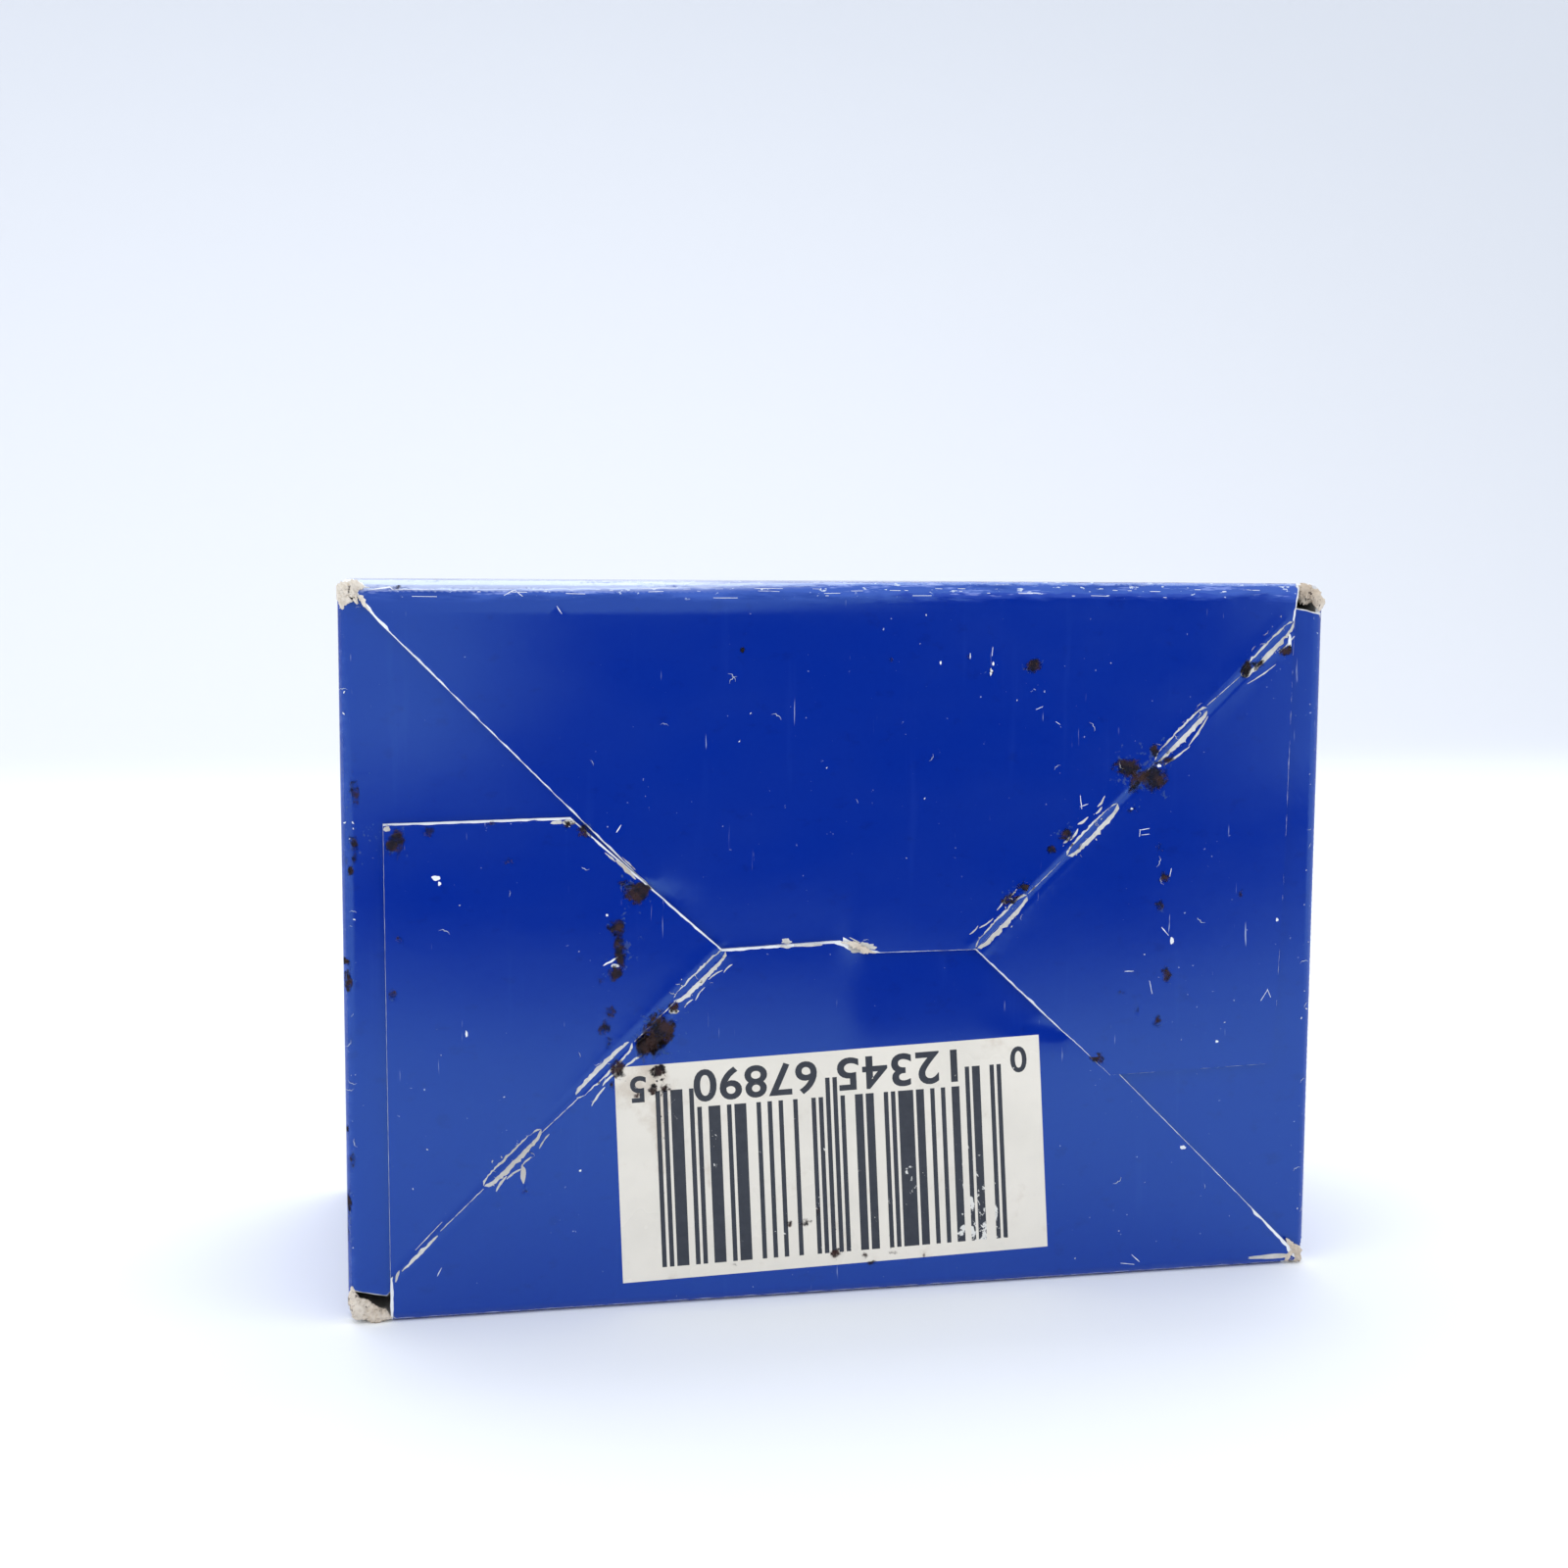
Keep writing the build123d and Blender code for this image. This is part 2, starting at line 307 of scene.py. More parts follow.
def make_grime():
    """Dark greasy specks: thick where the piece's own grime value is high, and thinly scattered elsewhere."""
    tree, given, out = new_group(
        "grime", [("Place", VECTOR, None), ("Held", VALUE, 0.0), ("Scatter", VALUE, 0.0)],
        [("Mask", VALUE), ("Colour", COLOUR)]
    )
    w = Wires(tree)
    fine = w.noise(given.outputs["Place"], 3600.0, 3.0, 0.6)
    specks = w.noise(given.outputs["Place"], 1500.0, 5.0, 0.68, distort=0.4)
    clump = w.noise(given.outputs["Place"], 700.0, 3.0, 0.6)
    load = w.plus(w.times(given.outputs["Held"], 0.17), w.times(given.outputs["Scatter"], 0.08))
    level = w.plus(w.plus(w.times(specks, 0.5), w.times(fine, 0.22)), w.times(clump, 0.28))
    level = w.plus(level, load)
    mask = w.times(w.ramp(level, 0.612, 0.645), w.ramp(w.plus(given.outputs["Held"], given.outputs["Scatter"]), 0.02,
        0.2))
    hue = w.noise(given.outputs["Place"], 900.0, 2.0)
    colour = w.mix(w.ramp(hue, 0.4, 0.62), (0.004, 0.004, 0.006, 1.0), (0.030, 0.013, 0.012, 1.0))
    tree.links.new(mask, out.inputs["Mask"])
    tree.links.new(colour, out.inputs["Colour"])
    return tree


def make_scuffs():
    """Hair scratches in two directions and small nicks through a printed skin."""
    tree, given, out = new_group("scuffs", [("Place", VECTOR, None), ("Held", VALUE, 0.0), ("Amount", VALUE, 1.0)],
        [("Mask", VALUE)])
    w = Wires(tree)
    place = given.outputs["Place"]
    marks = []
    for turn, scale in ((0.5, 150.0), (1.45, 120.0), (2.5, 170.0)):
        hair = w.noise(place, scale, 2.0, 0.6, stretch=(26.0, 1.0, 1.1), turn=turn, distort=0.45)
        patch = w.plus(w.noise(place, scale * 1.5, 2.0, 0.5, turn=turn + 1.0), w.times(given.outputs["Held"], 0.07))
        marks.append(w.times(w.ramp(hair, 0.715, 0.76), w.ramp(patch, 0.63, 0.72)))
    nick = w.ramp(w.plus(w.noise(place, 2100.0, 3.0, 0.6), w.times(given.outputs["Held"], 0.09)), 0.755, 0.80)
    both = w.most(w.most(marks[0], marks[1]), w.most(marks[2], nick))
    tree.links.new(w.times(both, given.outputs["Amount"], clamp=True), out.inputs["Mask"])
    return tree


def make_fibre():
    """Matted paper fibre, as a value about 0.5 and a colour shift."""
    tree, given, out = new_group("paper_fibre", [("Place", VECTOR, None), ("Scale", VALUE, 1.0)],
        [("Height", VALUE), ("Tone", VALUE)])
    w = Wires(tree)
    links = {0: given.outputs["Place"], "Scale": given.outputs["Scale"]}
    place = w.put("ShaderNodeVectorMath", links, operation="SCALE").outputs[0]
    a = w.noise(place, 1400.0, 4.0, 0.7, stretch=(1.0, 1.0, 0.35), turn=0.5, distort=1.5)
    b = w.noise(place, 1700.0, 4.0, 0.7, stretch=(0.4, 1.0, 1.0), turn=1.9, distort=1.5)
    tree.links.new(w.times(w.plus(a, b), 0.5), out.inputs["Height"])
    tree.links.new(w.noise(place, 160.0, 4.0, 0.6), out.inputs["Tone"])
    return tree


GRIME, SCUFFS, FIBRE = make_grime(), make_scuffs(), make_fibre()


def plain_material(name, **fixed):
    """A material, its shader and its wires; fixed sets the shader's own sockets."""
    material = bpy.data.materials.new(name)
    material.use_nodes = True
    shader = next(n for n in material.node_tree.nodes if n.type == "BSDF_PRINCIPLED")
    for socket, value in fixed.items():
        shader.inputs[socket.replace("_", " ")].default_value = value
    return material, shader, Wires(material.node_tree)


def finish(name, recipe, **fixed):
    """A material. The recipe wires its colour, roughness, bump height and strength, and for some its cover."""
    material, shader, w = plain_material(name, **fixed)
    tree = material.node_tree
    place = w.put("ShaderNodeTexCoord").outputs["Object"]
    colour, rough, height, strength, *cover = recipe(w, place)
    if cover:
        tree.links.new(cover[0], shader.inputs["Alpha"])
    tree.links.new(colour, shader.inputs["Base Color"])
    tree.links.new(rough, shader.inputs["Roughness"])
    bump = w.put("ShaderNodeBump", {"Height": height, "Strength": strength, "Distance": 0.0001})
    tree.links.new(bump.outputs[0], shader.inputs["Normal"])
    return material


def held(w, name):
    """A wear value, or the painted sheen, that the piece's points hold."""
    return w.put("ShaderNodeAttribute", attribute_name=name, attribute_type="GEOMETRY").outputs["Fac"]


def grouped(w, tree, links):
    return w.put("ShaderNodeGroup", links, node_tree=tree).outputs


def blue_print(w, place):
    cloud = w.noise(place, 38.0, 3.0, 0.5)
    mottle = w.noise(place, 2300.0, 2.0, 0.5)
    ink = w.mix(cloud, (0.0, 0.0145, 0.248, 1.0), (0.0, 0.0185, 0.274, 1.0))
    bruise = w.times(w.ramp(w.noise(place, 420.0, 5.0, 0.62, stretch=(1.0, 1.0, 1.6)), 0.57, 0.72), 0.4)
    ink = w.mix(bruise, ink, (0.0, 0.009, 0.19, 1.0))
    ink = w.mix(w.times(mottle, 0.1), ink, (0.004, 0.045, 0.38, 1.0))
    scuff, crinkle = held(w, "scuff"), held(w, "crinkle")
    streak = w.noise(place, 620.0, 4.0, 0.65, stretch=(0.16, 1.0, 1.0))
    fleck = w.noise(place, 1900.0, 3.0, 0.6, stretch=(0.5, 1.0, 1.0))
    # Lighter streaky print along the crinkled folds: partly crinkle wear, and partly painted sheen where the folds
    # catch the light.
    band = w.times(w.ramp(w.plus(streak, w.times(crinkle, 0.22)), 0.50, 0.74), w.ramp(crinkle, 0.05, 0.6), clamp=True)
    chips = w.times(w.ramp(w.plus(fleck, w.times(crinkle, 0.12)), 0.735, 0.79), w.ramp(crinkle, 0.2, 0.7))
    wear = grouped(w, SCUFFS, {"Place": place, "Held": scuff, "Amount": 0.55})["Mask"]
    wear = w.most(wear, chips)
    dirt = grouped(w, GRIME, {"Place": place, "Held": held(w, "grime"), "Scatter": 0.0})
    hairs = w.noise(place, 520.0, 3.0, 0.6, stretch=(1.0, 1.0, 0.07), turn=1.35)
    hairline = w.times(w.ramp(hairs, 0.60, 0.75), 0.045)
    colour = w.mix(hairline, ink, (0.05, 0.12, 0.50, 1.0))
    colour = w.mix(w.times(band, 0.55), colour, (0.055, 0.115, 0.52, 1.0))
    # Painted highlights: pale glints along the crinkled folds.
    glint = w.noise(place, 1150.0, 4.0, 0.7, stretch=(0.13, 1.0, 1.0))
    glint = w.times(w.ramp(w.plus(glint, w.times(crinkle, 0.10)), 0.64, 0.72), w.ramp(crinkle, 0.15, 0.7))
    colour = w.mix(w.times(glint, 0.5), colour, (0.30, 0.37, 0.80, 1.0))
    # Painted reflection: a pale lavender sheen on the top panel just behind the front fold, where the print mirrors
    # the pale backdrop.
    wear_and_sheen = w.times(held(w, "painted_sheen"), w.ramp(w.plus(streak, w.times(mottle, 0.3)), 0.40, 0.62))
    colour = w.mix(w.times(wear_and_sheen, 0.85), colour, (0.56, 0.60, 0.80, 1.0))
    colour = w.mix(wear, colour, (0.55, 0.60, 0.74, 1.0))
    colour = w.mix(w.times(dirt["Mask"], 0.35), colour, dirt["Colour"])
    smear = w.noise(place, 55.0, 4.0, 0.6, stretch=(1.0, 1.0, 2.2))
    rough = w.put("ShaderNodeMapRange", {0: smear, 1: 0.3, 2: 0.7, 3: 0.09, 4: 0.17}).outputs[0]
    rough = w.plus(rough, w.times(w.most(wear, dirt["Mask"]), 0.45), clamp=True)
    peel = w.noise(place, 1300.0, 2.0, 0.5)
    height = w.plus(w.times(peel, 0.22), w.times(w.noise(place, 260.0, 2.0), 0.5))
    height = w.plus(height, w.times(w.times(streak, crinkle), 3.2))
    height = w.math("SUBTRACT", height, w.times(wear, 0.35))
    height = w.plus(height, w.times(dirt["Mask"], 0.5))
    return colour, rough, height, 0.14


def board_look(light, dark, roughness, relief, soil=0.0):
    def recipe(w, place):
        fibre = grouped(w, FIBRE, {"Place": place, "Scale": 1.0})
        colour = w.mix(w.ramp(fibre["Tone"], 0.3, 0.7), dark, light)
        colour = w.mix(w.times(w.ramp(fibre["Height"], 0.42, 0.68), 0.35), colour,
            tuple(c * 0.72 for c in dark[:3]) + (1.0,))
        dirt = grouped(w, GRIME, {"Place": place, "Held": held(w, "grime"), "Scatter": soil})
        colour = w.mix(w.times(dirt["Mask"], 0.85), colour, dirt["Colour"])
        rough = w.plus(w.times(fibre["Height"], 0.15), roughness)
        return colour, rough, fibre["Height"], relief
    return recipe


def smear_look(w, place):
    """Greasy dirt that thins out to nothing where the piece's own grime value falls."""
    load = held(w, "grime")
    coarse = w.noise(place, 620.0, 4.0, 0.62, distort=0.6)
    fine = w.noise(place, 2900.0, 3.0, 0.65)
    level = w.plus(w.plus(w.times(coarse, 0.62), w.times(fine, 0.38)), w.times(load, 0.26))
    cover = w.times(w.times(w.ramp(level, 0.56, 0.73), w.ramp(load, 0.03, 0.3)), 0.86)
    colour = w.mix(w.ramp(w.noise(place, 1100.0, 3.0, 0.6), 0.38, 0.66), (0.007, 0.007, 0.011, 1.0),
        (0.042, 0.020, 0.017, 1.0))
    return colour, w.plus(w.times(fine, 0.3), 0.55), coarse, 0.5, cover


def label_look(w, place):
    fibre = grouped(w, FIBRE, {"Place": place, "Scale": 0.8})
    colour = w.mix(w.ramp(fibre["Tone"], 0.3, 0.7), (0.70, 0.658, 0.578, 1.0), (0.76, 0.712, 0.627, 1.0))
    stain = w.plus(w.noise(place, 330.0, 5.0, 0.65), w.times(w.plus(held(w, "grime"), held(w, "stain")), 0.22))
    smudge = w.times(w.ramp(stain, 0.56, 0.86), 0.55)
    colour = w.mix(smudge, colour, (0.42, 0.33, 0.24, 1.0))
    dirt = grouped(w, GRIME, {"Place": place, "Held": held(w, "grime"), "Scatter": 0.0})
    colour = w.mix(dirt["Mask"], colour, dirt["Colour"])
    rough = w.put("ShaderNodeMapRange", {0: w.noise(place, 60.0, 4.0), 1: 0.3, 2: 0.7, 3: 0.2, 4: 0.36}).outputs[0]
    return colour, rough, fibre["Height"], 0.08


def ink_look(w, place):
    wear_and_sheen = w.ramp(w.plus(w.noise(place, 1050.0, 5.0, 0.68, distort=0.5), w.times(held(w, "scuff"), 0.13)), 0.70, 0.74)
    colour = w.mix(w.noise(place, 1500.0, 2.0), (0.022, 0.026, 0.036, 1.0), (0.04, 0.045, 0.058, 1.0))
    colour = w.mix(wear_and_sheen, colour, (0.70, 0.69, 0.65, 1.0))
    rough = w.plus(w.times(wear_and_sheen, 0.3), 0.26)
    return colour, rough, w.noise(place, 1300.0, 2.0), 0.08


def glue_look(w, place):
    beads = w.noise(place, 500.0, 4.0, 0.6)
    colour = w.mix(beads, (0.62, 0.52, 0.34, 1.0), (0.80, 0.73, 0.56, 1.0))
    return colour, w.plus(w.times(beads, 0.3), 0.2), beads, 0.5


printed = finish("printed_blue_skin", blue_print, IOR=1.5, Specular_IOR_Level=0.85,
    Specular_Tint=(0.42, 0.80, 1.0, 1.0))
cut_edge = finish("white_cut_edge", board_look((0.86, 0.87, 0.88, 1.0), (0.70, 0.71, 0.74, 1.0), 0.6, 0.5))
torn = finish("torn_grey_fibre", board_look((0.66, 0.645, 0.615, 1.0), (0.47, 0.445, 0.41, 1.0), 0.75, 1.0, 0.3))
crushed = finish("crushed_cream_board", board_look((0.78, 0.71, 0.615, 1.0), (0.54, 0.44, 0.34, 1.0), 0.78, 1.0,
    0.25))
plain_back = finish("uncoated_back", board_look((0.70, 0.69, 0.65, 1.0), (0.60, 0.585, 0.545, 1.0), 0.78, 0.35))
label_white = finish("label_ground", label_look, IOR=1.48)
label_ink = finish("label_ink", ink_look, IOR=1.48, Specular_IOR_Level=0.35)
dried_dirt = finish("dried_dirt", board_look((0.045, 0.024, 0.018, 1.0), (0.012, 0.010, 0.012, 1.0), 0.8, 0.8),
    Specular_IOR_Level=0.12)
greasy_smear = finish("greasy_smear", smear_look, Specular_IOR_Level=0.15)
hair = finish("loose_hair", board_look((0.62, 0.66, 0.74, 1.0), (0.45, 0.50, 0.62, 1.0), 0.6, 0.3))
dried_glue = finish("dried_glue", glue_look, IOR=1.47)
BOARD_FINISHES = [printed, cut_edge, torn, plain_back, label_white, label_ink]
PRINTED, CUT, TORN, BACK, LABEL, INK = range(6)


# ---- wear on the auto-lock end, as places and sizes ----

# each dirt spot is x, z, half width, half height, turn and how thickly it lies
dirt_spots = [
    (16.8, 58.2, 0.81, 0.45, 0.4, 0.8), (10.6, 59.1, 0.27, 0.23, 0, 0.4), (12.7, 57.9, 0.27, 0.72, 0, 0.35),
    (26.0, 48.8, 1.17, 0.77, 0.2, 1.0), (28.2, 47.6, 1.62, 0.99, 0.3, 1.0), (29.6, 49.3, 1.17, 0.32, 0.3, 0.8),
    (28.7, 50.4, 0.36, 0.63, 0, 0.8), (26.7, 44.9, 0.54, 0.36, 0, 0.5), (29.5, 41.1, 0.41, 0.36, 0, 0.6),
    (29.9, 38.3, 0.45, 0.5, 0, 0.8), (29.7, 35.8, 0.5, 0.45, 0, 0.8), (37.7, 36.6, 0.32, 0.32, 0, 0.8),
    (30.4, 29.1, 0.41, 0.59, 0, 0.9), (27.5, 25.6, 0.36, 0.36, 0, 0.4), (25.9, 27.5, 0.32, 0.27, 0, 0.4),
    (29.6, 24.6, 0.32, 0.59, 0, 0.8), (23.7, 21.3, 0.63, 0.45, 0, 0.9), (16.2, 37.9, 0.59, 0.41, 0.3, 0.9),
    (14.9, 36.7, 0.9, 0.41, 0.3, 0.9), (20.2, 42.5, 0.5, 0.72, -0.3, 0.8), (18.8, 41.2, 0.41, 0.41, 0.5, 0.7),
    (37.6, 58.0, 0.45, 0.77, -0.3, 0.9), (39.0, 58.5, 0.63, 0.36, 0.3, 0.8), (41.7, 59.7, 0.72, 0.36, 0.3, 0.9),
    (3.1, 58.9, 0.27, 0.23, 0, 0.5), (-41.1, 43.2, 0.68, 0.99, 0, 1.0), (-38.2, 44.0, 0.45, 0.41, 0, 0.4),
    (-32.7, 44.6, 0.41, 0.18, 0, 0.6), (-31.3, 41.1, 0.45, 0.45, 0, 0.5), (-26.1, 44.3, 0.36, 0.27, 0, 0.7),
    (-24.7, 43.8, 0.63, 0.5, -0.6, 0.9), (-19.9, 38.2, 1.17, 0.81, -0.2, 1.0), (-21.1, 38.9, 0.54, 0.45, 0, 0.7),
    (-21.7, 35.0, 0.77, 0.63, 0, 0.95), (-21.4, 32.9, 0.5, 1.17, 0.1, 0.9), (-22.0, 31.0, 0.54, 0.59, 0, 1.0),
    (-23.2, 30.3, 0.36, 0.36, 0, 0.6), (-22.4, 27.4, 0.45, 0.54, 0, 0.7), (-22.9, 25.9, 0.45, 0.63, 0, 0.6),
    (-22.5, 24.7, 0.36, 0.45, 0, 0.5), (-17.9, 25.6, 1.13, 1.35, 0.2, 1.1), (-18.5, 24.4, 0.99, 0.9, 0.2, 1.1),
    (-16.7, 27.4, 0.45, 0.63, 0, 0.8), (-40.8, 34.4, 0.27, 0.45, 0, 0.6), (-41.5, 29.6, 0.36, 0.5, 0, 0.6),
    (-10.4, 59.8, 0.18, 0.18, 0, 0.8), (-40.6, 65.2, 0.45, 0.18, 0, 0.5), (-44.5, 47.5, 0.32, 1.35, 0, 0.6),
    (-44.6, 42.9, 0.32, 1.17, 0, 0.7), (-44.9, 40.7, 0.23, 0.45, 0, 0.8), (-45.5, 32.6, 0.23, 0.27, 0, 1.0),
    (-45.3, 31.1, 0.32, 0.99, 0, 0.7), (-45.7, 17.5, 0.27, 0.36, 0, 0.8), (-45.6, 10.9, 0.23, 0.9, 0, 0.7),
    (-45.7, 8.2, 0.23, 1.08, 0, 0.8), (-45.1, 14.9, 0.23, 0.63, 0, 0.4), (-21.7, 22.2, 0.54, 0.81, 0.4, 0.9),
    (-22.2, 20.6, 0.36, 0.36, 0, 0.5), (-18.2, 21.8, 0.59, 0.5, 0, 1.1), (-19.0, 24.2, 0.9, 0.72, 0, 1.1),
    (-17.4, 20.2, 0.5, 0.45, 0, 0.8), (-18.5, 20.2, 0.36, 0.41, 0, 0.8), (-19.9, 19.7, 0.32, 0.23, 0, 0.4),
    (-4.3, 7.0, 0.41, 0.36, 0, 0.8), (-5.9, 7.0, 0.27, 0.27, 0, 0.7), (-3.1, 8.0, 0.27, 0.45, 0, 0.4),
    (-1.4, 3.9, 0.45, 0.32, 0, 0.8), (-30.1, 11.6, 0.36, 0.45, 0, 0.3), (-11.0, 3.4, 0.23, 0.14, 0, 0.5),
    (1.3, 3.6, 0.27, 0.36, 0, 0.8), (4.1, 3.7, 0.41, 0.23, 0, 0.8), (2.1, 2.8, 0.45, 0.18, 0, 0.6),
    (7.1, 3.2, 0.23, 0.23, 0, 0.6), (20.3, 1.0, 0.23, 0.18, 0, 0.5),
]
stain_spots = [(-19.0, 20.4, 2.6, 1.1), (-17.0, 18.0, 2.2, 0.8), (-19.0, 15.0, 1.6, 0.4), (-14.0, 13.6, 1.8, 0.5),
    (-1.0, 6.6, 2.2, 0.5), (13.0, 6.4, 2.2, 0.5), (3.4, 4.2, 1.2, 0.6)]
grime_spots = [(x, z, 1.5 * max(rx, rz), 0.45 * load) for x, z, rx, rz, turn, load in dirt_spots]
scuff_spots = [
    (-38.0, 41.0, 1.2, 0.9), (-32.6, 44.0, 1.0, 0.7), (-25.4, 34.2, 1.2, 0.8), (-36.0, 20.0, 5.0, 0.3),
    (16.8, 56.6, 1.4, 1.0), (-4.0, 55.0, 7.0, 0.2), (20.0, 53.0, 6.0, 0.2), (36.0, 33.0, 9.0, 0.25),
    (34.0, 26.0, 3.0, 0.5), (27.0, 21.0, 6.0, 0.25), (-28.0, 8.0, 6.0, 0.3), (26.0, 6.0, 8.0, 0.3),
    (-5.0, 1.5, 10.0, 0.3), (44.5, 32.0, 4.0, 0.8), (44.3, 12.0, 5.0, 0.8), (44.6, 56.0, 5.0, 0.8),
    (-44.5, 20.0, 4.0, 0.6), (-44.3, 52.0, 5.0, 0.5), (0.0, 64.5, 30.0, 0.3), (34.5, 40.8, 1.3, 1.0),
    (13.2, 5.9, 2.4, 1.7), (10.8, 5.2, 1.4, 1.2), (-13.6, 14.2, 1.6, 0.9), (-3.2, 9.5, 1.4, 0.7),
    (6.6, 11.2, 1.6, 0.7), (5.0, 8.6, 1.6, 0.5), (11.0, 11.5, 1.4, 0.6), (-5.0, 12.6, 1.3, 0.6),
    (0.4, 7.2, 1.2, 0.7),
]


def gathered(points, spots, everywhere=0.0):
    """How much of a list of round marks lies at each point, seen from the front."""
    total = np.full(len(points), everywhere)
    for x, z, r, strength in spots:
        far = ((points[:, 0] - x) ** 2 + (points[:, 2] - z) ** 2) / (r * r)
        total += strength * np.exp(-far) * (points[:, 1] < front_y + 3)
    return np.clip(total, 0.0, 1.5)


# ---- the board maker ----

def make_board(name, outline, place, body, nodes, depth=None, step=0.45, grid=1.1, zones=(), extra=(),
               bevel=0.14, wander=0.03, seed=1.0, creases=()):
    """One board. outline is [(u, v, edge kind)], anticlockwise. zones is [(finish, outlines or segments, relief)],
    with later ones on top. creases is [(u1, v1, u2, v2)], lines that get closer mesh points. depth(u, v) sinks
    the board."""
    corners = [(u, v) for u, v, _ in outline]
    kinds = [k for _, _, k in outline]
    rim, owner = resampled(corners, step)
    for i, (edge, k, n) in enumerate(owner):
        white, ragged = kinds[edge]
        if not ragged or k == 0:
            continue
        fade = min(1.0, min(k, n - k) * step / 1.0)
        shift = ragged * fade * (noise.noise((rim[i][0] / 0.9, rim[i][1] / 0.9,
            seed)) + 0.6 * noise.noise((rim[i][0] / 0.35, rim[i][1] / 0.35, seed + 7)))
        rim[i] += inward_of(corners, edge) * (abs(shift) if ragged > 0.1 else shift)
    loops = [rim]
    whites = [k[0] for k in kinds]
    skin_loop = None
    if max(whites) > 0:
        inner = inset(corners, whites)
        line, inner_owner = resampled(inner, step * 0.8)
        for i, (edge, k, n) in enumerate(inner_owner):
            white, ragged = kinds[edge]
            if not white or k == 0:
                continue
            wobble = 0.45 * noise.noise((line[i][0] / 0.7, line[i][1] / 0.7,
                seed + 2)) + 0.35 * noise.noise((line[i][0] / 2.6, line[i][1] / 2.6, seed + 3))
            line[i] += inward_of(inner, edge) * white * max(-0.7, wobble * 1.3)
        loops.append(line)
        skin_loop = segments_of([line])
    rim_segments = segments_of([rim])
    points, edges = [], []

    def add_loop(loop):
        first = len(points)
        points.extend(map(tuple, loop))
        n = len(loop)
        edges.extend((first + i, first + (i + 1) % n) for i in range(n))

    for loop in loops:
        add_loop(loop)
    zone_segments = []
    for zone in zones:
        shape = zone[1]
        if isinstance(shape, np.ndarray) and shape.ndim == 3:
            for a, b in shape:
                points.extend([tuple(a), tuple(b)])
                edges.append((len(points) - 2, len(points) - 1))
            zone_segments.append(shape)
        else:
            for loop in shape:
                add_loop(loop)
            zone_segments.append(segments_of(shape))
    low, high = rim.min(0), rim.max(0)
    us = np.arange(low[0] + grid / 2, high[0], grid)
    vs = np.arange(low[1] + grid / 2, high[1], grid)
    gu, gv = np.meshgrid(us, vs)
    fill = np.stack([gu.ravel() + (np.indices(gu.shape)[0].ravel() % 2) * grid / 2, gv.ravel()], axis=1)
    more = [fill]
    # rows of points just inside the outline, for the bends that run along it
    for off in (0.12, 0.25, 0.38, 0.51, 0.64, 0.77, 0.92):
        line, _ = resampled(inset(corners, [off] * len(corners)), 0.55)
        more.append(line)
    for u1, v1, u2, v2 in creases:
        length = math.dist((u1, v1), (u2, v2))
        t = np.arange(0, length, 0.5) / length
        nx, nz = -(v2 - v1) / length, (u2 - u1) / length
        for off in (-0.9, -0.5, -0.25, 0.0, 0.25, 0.5, 0.9):
            more.append(np.stack([u1 + (u2 - u1) * t + nx * off, v1 + (v2 - v1) * t + nz * off], axis=1))
    if len(extra):
        more.append(np.asarray(extra, dtype=float))
    fill = np.concatenate(more)
    fill = fill[inside(fill, segments_of(loops[-1:]))]
    points.extend(map(tuple, fill))
    flat, _, faces, *_ = delaunay_2d_cdt([Vector(p) for p in points], edges, [], 0, 1e-4)
    flat = np.array([tuple(p) for p in flat])
    faces = np.array([f for f in faces if len(f) == 3])
    middle = flat[faces].mean(1)
    keep = inside(middle, rim_segments)
    corner = flat[faces]
    area = 0.5 * ((corner[:, 1, 0] - corner[:, 0, 0]) * (corner[:, 2, 1] - corner[:, 0, 1]) - (corner[:, 2,
        0] - corner[:, 0, 0]) * (corner[:, 1, 1] - corner[:, 0, 1]))
    keep &= np.abs(area) > 1e-6
    faces, middle, area = faces[keep], middle[keep], area[keep]
    faces[area < 0] = faces[area < 0][:, ::-1]
    look = np.full(len(faces), PRINTED)
    if skin_loop is not None:
        look[~inside(middle, skin_loop)] = CUT
    relief = np.zeros(len(flat))
    for (finish_index, _, sink), shape in zip(zones, zone_segments):
        hit = inside(middle, shape)
        look[hit] = finish_index
        if sink:
            inner_points = np.ones(len(flat), dtype=bool)
            inner_points[np.unique(faces[~hit])] = False
            touched = np.zeros(len(flat), dtype=bool)
            touched[np.unique(faces[hit])] = True
            relief[inner_points & touched] = sink
    used = np.unique(faces)
    renumber = -np.ones(len(flat), dtype=int)
    renumber[used] = np.arange(len(used))
    flat, relief, faces = flat[used], relief[used], renumber[faces]
    base = np.zeros(len(flat)) if depth is None else depth(flat[:, 0], flat[:, 1])
    base = base + wander * rumple(flat[:, 0], flat[:, 1], 16.0, 2.0) * 0.5 + wander * 0.5
    sides = dict.fromkeys((f[i], f[(i + 1) % 3]) for f in faces for i in range(3))
    border = [(a, b) for (a, b) in sides if (b, a) not in sides]
    front_depth = base + relief
    if skin_loop is not None:
        on_cut = np.zeros(len(flat), dtype=bool)
        on_cut[np.intersect1d(faces[look == CUT], [a for a, _ in border])] = True
        front_depth = front_depth + bevel * on_cut
    front = place(flat[:, 0], flat[:, 1], front_depth)
    back = place(flat[:, 0], flat[:, 1], base + board)
    n = len(flat)
    verts = np.concatenate([front, back]) * MM
    walls = [(b, a, a + n, b + n) for a, b in border]
    polys = [tuple(f) for f in faces] + [tuple(int(i) + n for i in f[::-1]) for f in faces] + walls
    mesh = bpy.data.meshes.new(name)
    mesh.from_pydata([tuple(v) for v in verts], [], [tuple(int(i) for i in p) for p in polys])
    for material in BOARD_FINISHES:
        mesh.materials.append(material)
    finishes = list(look) + [BACK] * len(faces) + [CUT] * len(walls)
